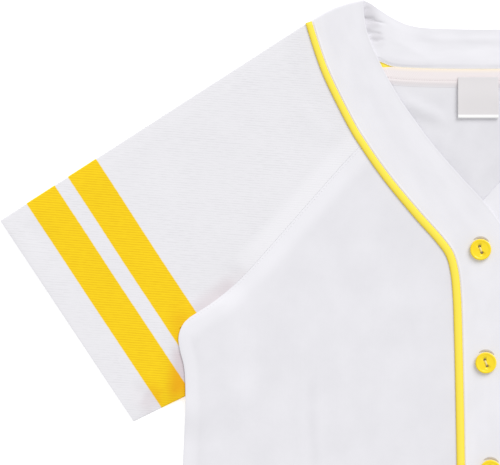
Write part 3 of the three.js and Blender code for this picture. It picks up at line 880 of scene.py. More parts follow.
@dataclass(frozen=True)
class TwillTape(Finish):
    """Cotton seam tape: fine slanting twill lines, faintly pink, with a painted peach reflection of
    the braid along its top.
    """

    name: str = "cotton twill tape"
    colour: str = "#f5eeee"
    line: str = "#eee4e5"
    painted_braid_reflection: str = "#fdf1e2"
    faded: str = "#e9e6ea"
    twill: float = 1.3

    def surface(self, tree: bpy.types.NodeTree) -> tuple[dict, dict]:
        """Draws the twill, and the change of colour across the tape, with the braid's painted
        reflection along its top.

        Args:
            tree: The material's nodes.

        Returns:
            The shader's settings, and the outputs that it takes.
        """
        lines = add_node(
            tree, "TexWave", {**BANDS, "Distortion": 0.4},
            {"Vector": on_cloth(tree, (self.twill * WAVE, self.twill * WAVE), 35)}, "Fac")
        spot = add_node(tree, "UVMap", {"uv_map": "cloth"})
        down = add_node(tree, "SeparateXYZ", links={0: spot}, output="Y")
        faint = add_node(tree, "MapRange", {1: 0.0, 2: 1.0, 4: 0.6}, {0: lines})
        tone = add_node(
            tree, "Mix", {**COLOURS, 6: linear(self.colour), 7: linear(self.line)}, {0: faint}, 2)
        # Painted reflection: the top few millimetres take the braid's peach glow
        upper = add_node(tree, "MapRange", {1: 0.6, 2: 3.4, 3: 1.0, 4: 0.0}, {0: down})
        warm = add_node(tree, "Mix", {**COLOURS, 7: linear(self.painted_braid_reflection)}, {0: upper, 6: tone}, 2)
        lower = add_node(tree, "MapRange", {1: 10.5, 2: 16.0}, {0: down})
        colour = add_node(tree, "Mix", {**COLOURS, 7: linear(self.faded)}, {0: lower, 6: warm}, 2)
        bump = add_node(tree, "Bump", {"Strength": 0.4, "Distance": 0.08 * MM}, {"Height": lines})
        settings = {"Roughness": 0.85, "Specular IOR Level": 0.12}
        return settings, {"Base Color": colour, "Normal": bump}


@dataclass(frozen=True)
class Satin(Finish):
    """Polyester satin: long floats one way, so a soft gloss; an edge colour paints light across its
    folds and sides.
    """

    colour: str
    edge: str
    thread: float
    roughness: float

    def surface(self, tree: bpy.types.NodeTree) -> tuple[dict, dict]:
        """Draws the floats and slubs, and paints light along the edges in the edge colour.

        Args:
            tree: The material's nodes.

        Returns:
            The shader's settings, and the outputs that it takes.
        """
        floats = add_node(
            tree, "TexWave", {**BANDS, "bands_direction": "Y", "Distortion": 0.6, "Detail": 1.0},
            {"Vector": on_cloth(tree, (6.0, self.thread * WAVE))}, "Fac")
        slubs = add_node(tree, "TexNoise", NOISE, {"Vector": on_cloth(tree, (3.0, 9.0))})
        # Painted light: the edge colour, a highlight on the label's roll and shade on the piping's
        # sides
        edge = add_node(tree, "Attribute", {"attribute_name": "painted_edge_shading"}, output="Fac")
        faint = add_node(tree, "MapRange", {1: 0.0, 2: 1.0, 4: 0.22}, {0: floats})
        shade = add_node(tree, "Math", {"operation": "ADD"}, {0: edge, 1: faint})
        colour = add_node(
            tree, "Mix", {**COLOURS, 6: linear(self.colour), 7: linear(self.edge)}, {0: shade}, 2)
        relief = add_node(tree, "Math", {"operation": "ADD"}, {0: floats, 1: slubs})
        bump = add_node(tree, "Bump", {"Strength": 0.35, "Distance": 0.07 * MM}, {"Height": relief})
        settings = {"Roughness": self.roughness, "Specular IOR Level": 0.25, "Anisotropic": 0.4}
        return settings, {"Base Color": colour, "Normal": bump}


@dataclass(frozen=True)
class SpunThread(Finish):
    """Spun polyester sewing thread: matt, a little hairy, so its colour varies along it."""

    colour: str
    shaded: str
    ply: float = 0.4

    def surface(self, tree: bpy.types.NodeTree) -> tuple[dict, dict]:
        """Draws the plies.

        Args:
            tree: The material's nodes.

        Returns:
            The shader's settings, and the outputs that it takes.
        """
        position = add_node(tree, "TexCoord", output="Object")
        plies = add_node(
            tree, "TexNoise", {"Scale": 1 / (self.ply * MM), "Detail": 1.0}, {"Vector": position})
        light = add_node(tree, "MapRange", {1: 0.35, 2: 0.65}, {0: plies})
        colour = add_node(
            tree, "Mix", {**COLOURS, 6: linear(self.shaded), 7: linear(self.colour)}, {0: light}, 2)
        return {"Roughness": 0.7, "Specular IOR Level": 0.2}, {"Base Color": colour}


@dataclass(frozen=True)
class PolyesterResin(Finish):
    """Cast polyester resin: a hard clear gloss over an even colour with faint cloudy depth."""

    colour: str
    cloud: str
    roughness: float
    cloud_size: float = 5.0
    scratch_size: float = 0.5

    def surface(self, tree: bpy.types.NodeTree) -> tuple[dict, dict]:
        """Draws the clouds and the fine scratches.

        Args:
            tree: The material's nodes.

        Returns:
            The shader's settings, and the outputs that it takes.
        """
        position = add_node(tree, "TexCoord", output="Object")
        clouds, scratches = (
            add_node(tree, "TexNoise", {**NOISE, "Scale": 1 / (size * MM)}, {"Vector": position})
            for size in (self.cloud_size, self.scratch_size))
        depth = add_node(tree, "MapRange", {1: 0.35, 2: 0.7}, {0: clouds})
        colour = add_node(
            tree, "Mix", {**COLOURS, 6: linear(self.colour), 7: linear(self.cloud)}, {0: depth}, 2)
        bump = add_node(
            tree, "Bump", {"Strength": 0.08, "Distance": 0.03 * MM}, {"Height": scratches})
        settings = {
            "Roughness": self.roughness, "IOR": 1.54, "Specular IOR Level": 0.3,
            "Coat Weight": 0.4, "Coat Roughness": 0.12}
        return settings, {"Base Color": colour, "Normal": bump}


@dataclass(frozen=True)
class PaleFloor(Finish):
    """Matt white studio sweep, lit so far that it reads as plain white."""

    name: str = "white paper sweep"
    grain: float = 2.0

    def surface(self, tree: bpy.types.NodeTree) -> tuple[dict, dict]:
        """Draws the paper's grain.

        Args:
            tree: The material's nodes.

        Returns:
            The shader's settings, and the outputs that it takes.
        """
        position = add_node(tree, "TexCoord", output="Object")
        grain = add_node(
            tree, "TexNoise", {**NOISE, "Scale": 1 / (self.grain * MM)}, {"Vector": position})
        colour = add_node(
            tree, "Mix", {**COLOURS, 6: linear("#f4f4f4"), 7: linear("#f8f8f8")}, {0: grain}, 2)
        settings = {
            "Roughness": 0.95, "Specular IOR Level": 0.0, "Emission Color": linear("#ffffff"),
            "Emission Strength": 0.42}
        return settings, {"Base Color": colour}


@dataclass
class SidePattern:
    """The seam lines and heights of one side, in that side's own coordinates."""

    side: Side
    fold_calm: tuple[float, float] = (0.0, 14.0)
    seam_sink: tuple[float, float] = (1.0, 14.0)
    side_calm: tuple[float, float] = (0.0, 16.0)
    side_folds: float = 0.15
    hem_calm: tuple[float, float] = (-40.0, 60.0)
    pressed_under_arm: float = 0.5
    shade_start: tuple[float, float] = (200.0, 240.0)
    raglan_allowance: tuple[float, float] = (8.0, 20.0)
    side_allowance: tuple[float, float] = (8.0, 14.0)
    side_doubling: float = 0.8

    def __post_init__(self) -> None:
        """Draws the lines of the side."""
        rows = NECK_ROWS + PLACKET_ROWS[self.side]
        seam_knots = place([row.seam for row in rows])
        counts = step_counts(seam_knots)
        self.seam = curve_through(seam_knots, counts)
        self.edge = curve_through(place([row.edge for row in rows]), counts)
        self.raglan_station = sum(counts[:RAGLAN_ROW])
        self.raglan = smooth_line(RAGLAN)
        raglan_counts = step_counts(place(RAGLAN))
        self.seam_end = sum(raglan_counts[:SEAM_END_ROW])
        back_knots = place([row.seam for row in BACK_BAND_ROWS])
        back_counts = step_counts(back_knots)
        self.back_seam = curve_through(back_knots, back_counts)
        self.back_edge = curve_through(place([row.edge for row in BACK_BAND_ROWS]), back_counts)
        self.yoke_station = sum(back_counts[:BACK_RAGLAN_ROW])
        self.back_yoke = offset_line(self.back_seam, BRAID_WIDTH + 2 * SEAM_GAP)
        corner = self.back_yoke[self.yoke_station]
        back_raglan_knots = np.vstack([corner, place(BACK_RAGLAN)])
        raglan_steps = step_counts(back_raglan_knots)
        self.back_raglan = curve_through(back_raglan_knots, raglan_steps)
        self.back_raglan_end = sum(raglan_steps[:-1])
        self.side_seam = smooth_line(SIDE_SEAM)
        raglan_part = self.raglan[sum(raglan_counts[:ROLLED_RAGLAN_ROW]):]
        side_part = self.side_seam[:sum(step_counts(place(SIDE_SEAM))[:ROLLED_SIDE_ROW])]
        self.rolled_edge = np.vstack([raglan_part[::2], side_part[1::2]])

    def level_at_seam(self, at: Array) -> Array:
        """Gives the height of the underside of the upper layer beside the band's seam.

        Args:
            at: Points in the side's own coordinates.

        Returns:
            The heights.
        """
        if self.side is Side.LEFT:
            return np.full(at.shape[:-1], TOP_BAND_LEVEL)
        share = smoothstep(down_of(at), *RIGHT_DROP)
        return TOP_BAND_LEVEL + (FRONT_LEVEL - TOP_BAND_LEVEL) * share

    def under_arm(self, at: Array) -> Array:
        """Gives 1 where the body's side lies over the sleeve."""
        return 1 - away(at, place(UNDERARM_LINE), UNDERARM_REACH)

    def tucked(self, at: Array) -> Array:
        """Gives 1 where the sleeve's end lies over the back."""
        return 1 - away(at, place(TUCK_LINE), TUCK_REACH)

    def upper_height(self, at: Array, lift: Array, calm: Array) -> Array:
        """Gives the height of the middle of the upper layer's cloth.

        Args:
            at: Points in the side's own coordinates.
            lift: How far what lies beneath raises each point.
            calm: How much of the folds each point takes, from 0 to 1.

        Returns:
            The heights.
        """
        near = 1 - away(at, self.seam[::3], SEAM_RAMP)
        folds = never_below(LOFT + crease_heights(at, UPPER_CREASES[self.side]))
        rise = (self.level_at_seam(at) - FRONT_LEVEL) * near
        loose = folds * calm * (1 - near) * (1 - self.pressed_under_arm * self.under_arm(at))
        return FRONT_LEVEL + CLOTH / 2 + rise + lift + loose

    def from_folds(self, at: Array) -> Array:
        """Gives the distance to the nearer of the sleeve's two folds.

        Args:
            at: Points in the side's own coordinates.

        Returns:
            The distances.
        """
        top, _ = distance_to_line(at, np.vstack([place(CUFF[0]), self.seam[0]]))
        low, _ = distance_to_line(at, np.vstack([place(CUFF[1]), place(SLEEVE_HIDDEN[-1])]))
        return np.minimum(top, low)

    def sleeve_height(self, at: Array) -> Array:
        """Gives the height of the middle of the sleeve's upper cloth.

        Args:
            at: Points in the side's own coordinates.

        Returns:
            The heights.
        """
        sink = SLEEVE_SINK * (1 - away(at, self.rolled_edge, self.seam_sink))
        calm = smoothstep(self.from_folds(at), *self.fold_calm)
        return self.upper_height(at, SLEEVE_LIFT * self.tucked(at), calm) - sink * calm

    def front_height(self, at: Array) -> Array:
        """Gives the height of the middle of the front's cloth, whose edge rolls onto the sleeve.

        Args:
            at: Points in the side's own coordinates.

        Returns:
            The heights.
        """
        down = down_of(at)
        beside = self.side_folds + (1 - self.side_folds) * away(
            at, self.side_seam[::3], self.side_calm)
        calm = beside * smoothstep(BODY_LENGTH - down, *self.hem_calm)
        height = self.upper_height(at, BODY_LIFT * self.under_arm(at), calm)
        onto = smoothstep(down, *ROLL_CHANGE)
        rolled = self.sleeve_height(at) + ROLL_ON_SEAM + (ROLL_ON_SLEEVE - ROLL_ON_SEAM) * onto
        return rolled + (height - rolled) * np.sqrt(away(at, self.rolled_edge, (0, ROLL_REACH)))

    def painted_sleeve_shade(self, at: Array) -> Array:
        """Gives how deep the painted shade on the sleeve beside the body is, from 0 to 1."""
        return painted_shade_at(at, SLEEVE_PAINTED_SHADES) * smoothstep(down_of(at), *self.shade_start)

    def doubled_by_seams(self, at: Array) -> Array:
        """Gives how far a seam allowance lies under the cloth, from 0 to 1.

        Args:
            at: Points in the side's own coordinates.

        Returns:
            The shares.
        """
        raglan = 1 - away(at, self.raglan[::3], self.raglan_allowance)
        side = 1 - away(at, self.side_seam[::3], self.side_allowance)
        return np.maximum(raglan, self.side_doubling * side)


@dataclass(frozen=True)
class FrontPanel:
    """One front: from the raglan seam to the hem, between the band and the side seam."""

    pattern: SidePattern
    finish: bpy.types.Material
    hem_depth: float = 20.0
    hem_ease: float = 0.8
    hem_rise: float = 0.35

    def outline(self) -> tuple[Array, Array, Array, Array]:
        """Draws the panel's edges.

        Returns:
            The top, bottom, outer and inner lines.
        """
        raglan = self.pattern.raglan[::-1]
        band_seam = self.pattern.seam[self.pattern.raglan_station:]
        inset = offset_line(np.vstack([raglan, band_seam[1:]]), CLOSED_SEAM / 2)
        top = inset[:len(raglan)]
        inner = inset[len(raglan) - 1:]
        outer_seam = np.vstack([top[:1], self.pattern.side_seam[1:]])
        outer = resampled(outer_seam, marks_along(inner))
        share = np.linspace(0, 1, len(top))
        bottom = outer[-1] + (inner[-1] - outer[-1]) * share[:, None]
        bottom[:, 1] = outer[-1, 1] + (inner[-1, 1] - outer[-1, 1]) * np.sin(share * math.pi / 2)
        return top, bottom, outer, inner

    def height_at(self, at: Array) -> Array:
        """Gives the height of the middle of the panel's cloth, doubled along the hem.

        Args:
            at: Points in the side's own coordinates.

        Returns:
            The heights.
        """
        up = BODY_LENGTH / 2 + at[..., 1] - self.hem_depth
        return self.pattern.front_height(at) + self.hem_rise * (
            1 - smoothstep(up, -self.hem_ease, self.hem_ease))

    def build(self) -> bpy.types.Object:
        """Makes the panel.

        Returns:
            The piece.
        """
        side = self.pattern.side
        flat = coons_patch(*self.outline())
        surface = lifted(flat, self.height_at(flat), side)
        shades = {"seam_near": self.pattern.doubled_by_seams(flat)}
        mesh = grid_mesh(f"front_{side.value}_cloth", surface, surface[..., :2], shades)
        piece = add_piece(mesh, [self.finish], "body_cloth", f"front_{side.value}")
        give_wall(piece)
        return piece


@dataclass(frozen=True)
class BackPanel:
    """The whole back, flat on the floor, with soft folds where it shows inside the neck."""

    pattern: SidePattern
    finish: bpy.types.Material
    loft: float = 0.1
    loft_softness: float = 0.2
    inside_band: tuple[float, float] = (10.0, 34.0)
    under_tape: tuple[float, float] = (74.0, 84.0)
    above_placket: tuple[float, float] = (168.0, 186.0)
    label_middle: float = 4.0
    label_half: float = 18.0
    label_low: float = 101.0
    beside_label: tuple[float, float] = (-1.0, 9.0)
    folds_under_label: float = 0.15
    yoke_doubling: float = 0.5
    yoke_allowance: tuple[float, float] = (10.0, 26.0)

    def outline(self) -> tuple[Array, Array, Array, Array]:
        """Draws the panel's edges.

        Returns:
            The top, bottom, left and right lines.
        """
        yoke = self.pattern.back_yoke[self.pattern.yoke_station:]
        half = np.vstack([self.pattern.back_raglan[::-1], yoke[1:]])
        top = offset_line(with_mirror(half), SEAM_GAP / 2)
        side = np.vstack([top[:1], self.pattern.side_seam[1:]])
        share = np.linspace(0, 1, len(top))
        low = side[-1]
        depth = low[1] + (-BODY_LENGTH / 2 - low[1]) * np.sin(share * math.pi)
        bottom = np.stack([low[0] * (1 - 2 * share), depth], axis=1)
        return top, bottom, side, side * (-1, 1)

    def height_at(self, at: Array) -> Array:
        """Gives the height of the middle of the panel's cloth, folded only inside the neck.

        Args:
            at: Points in the viewer's left side's coordinates.

        Returns:
            The heights.
        """
        down = down_of(at)
        seam = self.pattern.seam
        room = np.interp(down, down_of(seam), seam[:, 0]) - np.abs(at[..., 0])
        beside = np.abs(at[..., 0] - self.label_middle) - self.label_half
        label = np.maximum(beside, down - self.label_low)
        opening = smoothstep(room, *self.inside_band) * smoothstep(down, *self.under_tape)
        opening = opening * (1 - smoothstep(down, *self.above_placket))
        opening = opening * (self.folds_under_label + (1 - self.folds_under_label) * smoothstep(
            label, *self.beside_label))
        creases = crease_heights(at, INSIDE_CREASES)
        return CLOTH / 2 + never_below(self.loft + creases, self.loft_softness) * opening

    def build(self) -> bpy.types.Object:
        """Makes the panel.

        Returns:
            The piece.
        """
        flat = coons_patch(*self.outline())
        surface = lifted(flat, self.height_at(flat), Side.LEFT)
        seam = away(flat, self.pattern.back_yoke[::3], self.yoke_allowance)
        shades = {"seam_near": self.yoke_doubling * (1 - seam)}
        mesh = grid_mesh("back_cloth", surface, surface[..., :2], shades)
        piece = add_piece(mesh, [self.finish], "body_cloth", "back_panel")
        give_wall(piece)
        return piece


@dataclass(frozen=True)
class Sleeve:
    """A raglan sleeve: a flattened tube from the cuff to the neck, under the body at its end."""

    pattern: SidePattern
    finish: bpy.types.Material
    stations: int = 96
    fold_steps: int = 6
    way_in_points: int = 9
    back_columns: int = 70
    stripe_stretch: float = 0.013
    stretch_share: float = 0.6
    allowance_end: tuple[float, float] = (195.0, 240.0)
    one_face: float = 0.18

    def arm_lines(self) -> tuple[Array, Array]:
        """Draws where the sleeve ends at the neck and the armhole.

        Returns:
            The front's edge and the back's.
        """
        pattern = self.pattern
        hidden = smooth_line(SLEEVE_HIDDEN, 2 * SPACING)
        bend = pattern.raglan[pattern.seam_end]
        way_in = resampled(np.vstack([bend, hidden[0]]), self.way_in_points)[1:-1]
        neck = pattern.seam[:pattern.raglan_station + 1]
        front = np.vstack([neck, pattern.raglan[1:pattern.seam_end + 1], way_in, hidden])
        yoke = pattern.back_yoke[1:pattern.yoke_station + 1]
        raglan = pattern.back_raglan[1:pattern.back_raglan_end + 1]
        back = np.vstack([pattern.seam[:1], yoke, raglan, way_in, hidden])
        front = offset_line(front, CLOSED_SEAM / 2)
        back = resampled(offset_line(back, SEAM_GAP / 2), self.back_columns)
        back[0], back[-1] = front[0], front[-1]
        return front, back

    def rows(self, arm: Array) -> Array:
        """Draws the rows from the cuff to an armhole edge.

        Args:
            arm: The edge's points.

        Returns:
            Points by row and column, as x and y.
        """
        cuff = resampled(place(CUFF), marks_along(arm))
        share = np.linspace(0, 1, self.stations + 1)[:, None, None]
        return cuff[None] * (1 - share) + arm[None] * share

    def fold(self, corner: Array, inward: Array, upper: Array, lower: Array) -> Array:
        """Turns the cloth over at a fold.

        Args:
            corner: The fold's outermost point in each row.
            inward: The way into the sleeve in each row.
            upper: The height where the turn starts.
            lower: The height where the turn ends.

        Returns:
            Points by row and step, as x, y and height.
        """
        angles = np.linspace(0, math.pi, self.fold_steps + 1)[None]
        radius = ((upper - lower) / 2)[:, None]
        inset = radius * (1 - np.sin(angles))
        flat = corner[:, None] + inward[:, None] * inset[..., None]
        return raised(flat, (upper + lower)[:, None] / 2 + radius * np.cos(angles))

    def surface(self) -> Array:
        """Rolls the tube.

        Returns:
            Its points by row and column, as x, y and height.
        """
        front_arm, back_arm = self.arm_lines()
        front = self.rows(front_arm)
        back = self.rows(back_arm)[:, ::-1]
        upper = self.pattern.sleeve_height(front)
        lower = CLOTH / 2 + SLEEVE_LIFT * self.pattern.tucked(back)
        top_turn = self.fold(
            front[:, 0], unit(front[:, 1] - front[:, 0]), upper[:, 0], lower[:, -1])[:, ::-1]
        low_turn = self.fold(
            front[:, -1], unit(front[:, -2] - front[:, -1]), upper[:, -1], lower[:, 0])
        half_turn = self.fold_steps // 2
        return np.concatenate([
            top_turn[:, half_turn:], raised(front, upper)[:, 2:-2], low_turn,
            raised(back, lower)[:, 1:-1], top_turn[:, :half_turn + 1]], axis=1)

    def shades(self, flat: Array) -> dict[str, Array]:
        """Finds what the knit's colour depends on.

        Args:
            flat: The sleeve's points, as x and y.

        Returns:
            The distance from the cuff, and the shares of seam allowance and of painted shade.
        """
        cuff_top, cuff_low = place(CUFF)
        along = unit(cuff_low - cuff_top)
        inward = np.array([-along[1], along[0]])
        inward *= np.sign(inward @ (place(SLEEVE_HIDDEN[0]) - cuff_top))
        low = (flat - cuff_top) @ along / np.linalg.norm(cuff_low - cuff_top)
        stretch = 1 + self.stripe_stretch * (1 - smoothstep(low, 0, self.stretch_share))
        allowance = 1 - smoothstep(down_of(flat), *self.allowance_end)
        return {
            "from_cuff": (flat - cuff_top) @ inward / stretch,
            "seam_near": self.pattern.doubled_by_seams(flat) * allowance,
            # Painted shade beside the body's edge, as a point attribute
            "in_painted_shade": self.pattern.painted_sleeve_shade(flat),
        }

    def build(self) -> bpy.types.Object:
        """Makes the sleeve.

        Returns:
            The piece.
        """
        side = self.pattern.side
        tube = self.surface()
        flat = tube[..., :2]
        surface = lifted(flat, tube[..., 2], side)
        mesh = grid_mesh(
            f"sleeve_{side.value}_cloth", surface, flat * (-1, 1), self.shades(flat), is_round=True)
        piece = add_piece(mesh, [self.finish], "sleeve_cloth", f"sleeve_{side.value}")
        give_wall(piece)
        return piece


class Bead(NamedTuple):
    """A ridge or groove along an edge: how far in it lies, its half width and its height."""

    middle: float
    half: float
    rise: float

    def height(self, distance: Array) -> Array:
        """Gives the bead's height at distances from the edge."""
        return self.rise * np.exp(-(((distance - self.middle) / self.half) ** 2))


@dataclass(frozen=True)
class NeckBand:
    """A side's band, from the hem up the front, round the V, over the shoulder to the centre back."""

    pattern: SidePattern
    width: float = 50.0
    seam_columns: tuple[float, float] = (0.0, 1.2)
    bead_columns: tuple[float, float] = (2.5, 6.5)
    rim_columns: float = 3.0
    fine_step: float = 0.5
    step: float = 1.15
    seam_bead: Bead = Bead(4.35, 0.6, 0.24)
    seam_groove: Bead = Bead(3.4, 0.45, -0.2)
    edge_bead: Bead = Bead(0.7, 0.6, 0.1)
    crown: float = 3.0
    crown_reach: float = 55.0
    turn_steps: int = 10
    fold_stations: int = 60
    seam_calm: tuple[float, float] = (0.5, 5.0)
    edge_calm: tuple[float, float] = (0.0, 7.0)
    fall_to_fold: float = 1.6
    fall_reach: tuple[float, float] = (14.0, 46.0)
    fold_rise: tuple[float, float] = (0.0, 9.0)
    seam_roll: float = 1.5
    roll_reach: tuple[float, float] = (4.0, 24.0)
    back_groove: Bead = Bead(2.5, 0.9, 0.18)
    groove_reach: tuple[float, float] = (8.0, 40.0)
    softness: float = 0.15
    ceiling: float = 2.4

    def shares(self) -> Array:
        """Gives the columns' places across the band, closer along its two edges.

        Returns:
            Shares of the width.
        """
        start, stop = self.bead_columns
        rim_start = self.width - self.rim_columns
        fine = np.arange(start, stop, self.fine_step)
        rim = np.arange(rim_start, self.width + 0.01, self.fine_step)
        plain = np.linspace(stop, rim_start, round((rim_start - stop) / self.step), endpoint=False)
        return np.concatenate([self.seam_columns, fine, plain, rim]) / self.width

    def across(self, seam: Array, edge: Array) -> Array:
        """Draws the rows of the band from its seam to its free edge.

        Args:
            seam: The seam's points, from the shoulder on.
            edge: The free edge's points.

        Returns:
            Points by row and column, as x and y.
        """
        share = self.shares()
        flat = seam[:, None] + (edge - seam)[:, None] * share[None, :, None]
        width = unit(edge - seam)
        outward = np.stack([-width[:, 1], width[:, 0]], axis=1)
        outward *= np.where(outward[:, 1:] < 0, -1, 1)
        crown = self.crown * np.clip(1 - travelled(seam) / self.crown_reach, 0, 1)
        bulge = 4 * crown[:, None] * share * (1 - share)
        return flat + outward[:, None] * bulge[..., None]

    def front_height(self, at: Array) -> Array:
        """Gives the height of the middle of the cloth in front, with a bead along each edge.

        Args:
            at: Points in the side's own coordinates.

        Returns:
            The heights.
        """
        from_seam = self.shares()[None] * self.width
        beads = self.seam_bead.height(from_seam) + self.seam_groove.height(from_seam)
        beads = beads + self.edge_bead.height(self.width - from_seam)
        return self.pattern.level_at_seam(at) + CLOTH / 2 + beads

    def back_height(self, at: Array) -> Array:
        """Gives the height of the middle of the cloth behind the neck.

        It rolls down into the seam, falls away from the shoulder fold, and stays under the front.

        Args:
            at: Points in the side's own coordinates.

        Returns:
            The heights.
        """
        seam, _ = distance_to_line(at, self.pattern.back_seam[::2])
        fold, _ = distance_to_line(at, self.pattern.edge[:self.fold_stations])
        edge = away(at, self.pattern.back_edge[::2], self.edge_calm)
        calm = smoothstep(seam, *self.seam_calm) * (0.8 + 0.2 * edge)
        rise = 0.45 + 0.55 * smoothstep(fold, *self.fold_rise)
        fall = self.fall_to_fold * rise * (1 - smoothstep(fold, *self.fall_reach))
        folds = never_below(BAND_LOFT + fall + crease_heights(at, BAND_CREASES), self.softness)
        roll = self.seam_roll * (1 - smoothstep(seam, *self.roll_reach))
        roll = roll * (0.8 + 0.2 * smoothstep(seam, 0, 4.5))
        groove = self.back_groove.height(seam) * (1 - smoothstep(fold, *self.groove_reach))
        height = CLOTH / 2 + folds * calm + roll - groove
        return self.ceiling - never_below(self.ceiling - height, self.softness)

    def shoulder_turn(self, first: Array) -> Array:
        """Turns the band over at the shoulder.

        Args:
            first: The front's row at the shoulder, as x, y and height.

        Returns:
            Rows of the turn, from the front to the back.
        """
        along = unit(first[-1, :2] - first[0, :2])
        inward = np.array([along[1], -along[0]])
        inward *= -np.sign(inward[1])
        radius = (first[0, 2] - CLOTH / 2) / 2
        angles = np.linspace(0, math.pi, self.turn_steps + 1)
        rows = np.repeat(first[None], len(angles), axis=0)
        rows[..., :2] += inward * (radius + CLOTH / 2 - radius * np.sin(angles))[:, None, None]
        rows[..., 2] = (CLOTH / 2 + radius * (1 + np.cos(angles)))[:, None]
        return rows

    def surface(self) -> tuple[Array, Array]:
        """Lays the band out from the hem to the centre back.

        Returns:
            Its points, and how deep each lies in painted shade, by row and column.
        """
        seam, back_seam = (
            offset_line(line, -SEAM_GAP / 2) for line in (self.pattern.seam, self.pattern.back_seam))
        front_flat = self.across(seam, self.pattern.edge)
        front = raised(front_flat, self.front_height(front_flat))
        back_flat = self.across(back_seam, self.pattern.back_edge)
        back_flat[-1, :, 0] = 0
        back = raised(back_flat, self.back_height(back_flat))
        reach = CLOTH / 2 + (front[0, 0, 2] - CLOTH / 2) / 2
        start = 1 + int(reach // SPACING)
        grid = np.concatenate([front[start:][::-1], self.shoulder_turn(front[0]), back[start:]])
        shade = np.zeros(grid.shape[:2])
        # Painted shade on the band behind the neck, beside the shoulder fold
        shade[start - len(back):] = painted_shade_at(back_flat[start:], BAND_PAINTED_SHADES)
        return lifted(grid[..., :2], grid[..., 2], self.pattern.side), shade


@dataclass(frozen=True)
class NeckBands:
    """Both bands, joined behind the neck in a seam that doesn't show."""

    patterns: dict[Side, SidePattern]
    finish: bpy.types.Material

    def build(self) -> bpy.types.Object:
        """Makes the bands.

        Returns:
            The piece.
        """
        left, right = (NeckBand(self.patterns[side]) for side in Side)
        surface, shade = (
            np.concatenate([one, other[::-1][1:]])
            for one, other in zip(left.surface(), right.surface()))
        middle = surface[:, surface.shape[1] // 2]
        uv = paired((left.shares() * left.width)[None], travelled(middle)[:, None])
        mesh = grid_mesh("neck_band_cloth", surface, uv, {"in_painted_shade": shade})
        piece = add_piece(mesh, [self.finish], "band_cloth", "neck_band_left", "neck_band_right")
        give_wall(piece)
        return piece


@dataclass(frozen=True)
class Piping:
    """Satin piping on the seam of a band: a soft cord under folded satin, from shoulder to hem."""

    pattern: SidePattern
    finish: bpy.types.Material
    shoulder_width: float = 5.6
    raglan_width: float = 6.1
    front_width: float = 7.0
    widening: float = 150.0
    height: float = 1.5
    fullness: float = 0.75
    sides: int = 16
    side_shade_span: tuple[float, float] = (0.28, 0.5)
    cut_width: float = 0.0078

    def widths(self) -> Array:
        """Gives the width at each station of the seam.

        Returns:
            The widths.
        """
        travel = travelled(self.pattern.seam)
        at_raglan = travel[self.pattern.raglan_station]
        marks = (0.0, at_raglan, at_raglan + self.widening)
        return np.interp(travel, marks, (self.shoulder_width, self.raglan_width, self.front_width))

    def build(self) -> bpy.types.Object:
        """Makes the piping.

        Returns:
            The piece.
        """
        side = self.pattern.side
        seam = self.pattern.seam
        angle = np.linspace(0, 2 * math.pi, self.sides + 1)
        across = np.cos(angle) / 2
        up = np.maximum(np.sin(angle), 0)
        wide = sideways(seam) * self.widths()[:, None]
        flat = seam[:, None] + wide[:, None] * across[None, :, None]
        bottom = self.pattern.level_at_seam(seam) + CLOTH + LAYER_GAP
        heights = bottom[:, None] + self.height * up[None] ** self.fullness
        along = travelled(seam)
        uv = paired(across[None] * self.front_width, along[:, None])
        # Painted shade: the piping's rounded sides take the satin's darker edge colour
        edge = np.broadcast_to(smoothstep(np.abs(across), *self.side_shade_span), heights.shape)
        mesh = grid_mesh(
            f"piping_{side.value}", lifted(flat, heights, side), uv, {"painted_edge_shading": edge},
            is_round=True, has_caps=True)
        piece = add_piece(mesh, [self.finish], "braid_yellow", f"braid_{side.value}")
        return piece


@dataclass(frozen=True)
class BackBraid:
    """The same braid lying flat in the seam behind the neck."""

    pattern: SidePattern
    finish: bpy.types.Material
    width: float = BRAID_WIDTH
    cloth: float = 1.0
    from_shoulder: float = 14.0
    columns: int = 9
    middle: float = 0.85
    arch: float = 0.25
    side_shade_span: tuple[float, float] = (0.3, 0.5)

    def build(self) -> bpy.types.Object:
        """Makes the braid.

        Returns:
            The piece.
        """
        whole = with_mirror(self.pattern.back_seam[int(self.from_shoulder // SPACING):])
        share = np.linspace(0, 1, self.columns)
        out = SEAM_GAP / 2 + share * self.width
        flat = whole[:, None] + sideways(whole)[:, None] * out[None, :, None]
        heights = np.broadcast_to(self.middle + self.arch * np.sin(share * math.pi), flat.shape[:-1])
        along = travelled(whole)
        uv = paired((share * self.width)[None], along[:, None])
        # Painted shade: the braid's sides take the satin's darker edge colour
        edge = np.broadcast_to(smoothstep(np.abs(share - 0.5), *self.side_shade_span), heights.shape)
        mesh = grid_mesh(
            "back_neck_braid", lifted(flat, heights, Side.LEFT), uv, {"painted_edge_shading": edge})
        piece = add_piece(mesh, [self.finish], "braid_yellow", "braid_back_neck")
        give_wall(piece, self.cloth)
        return piece


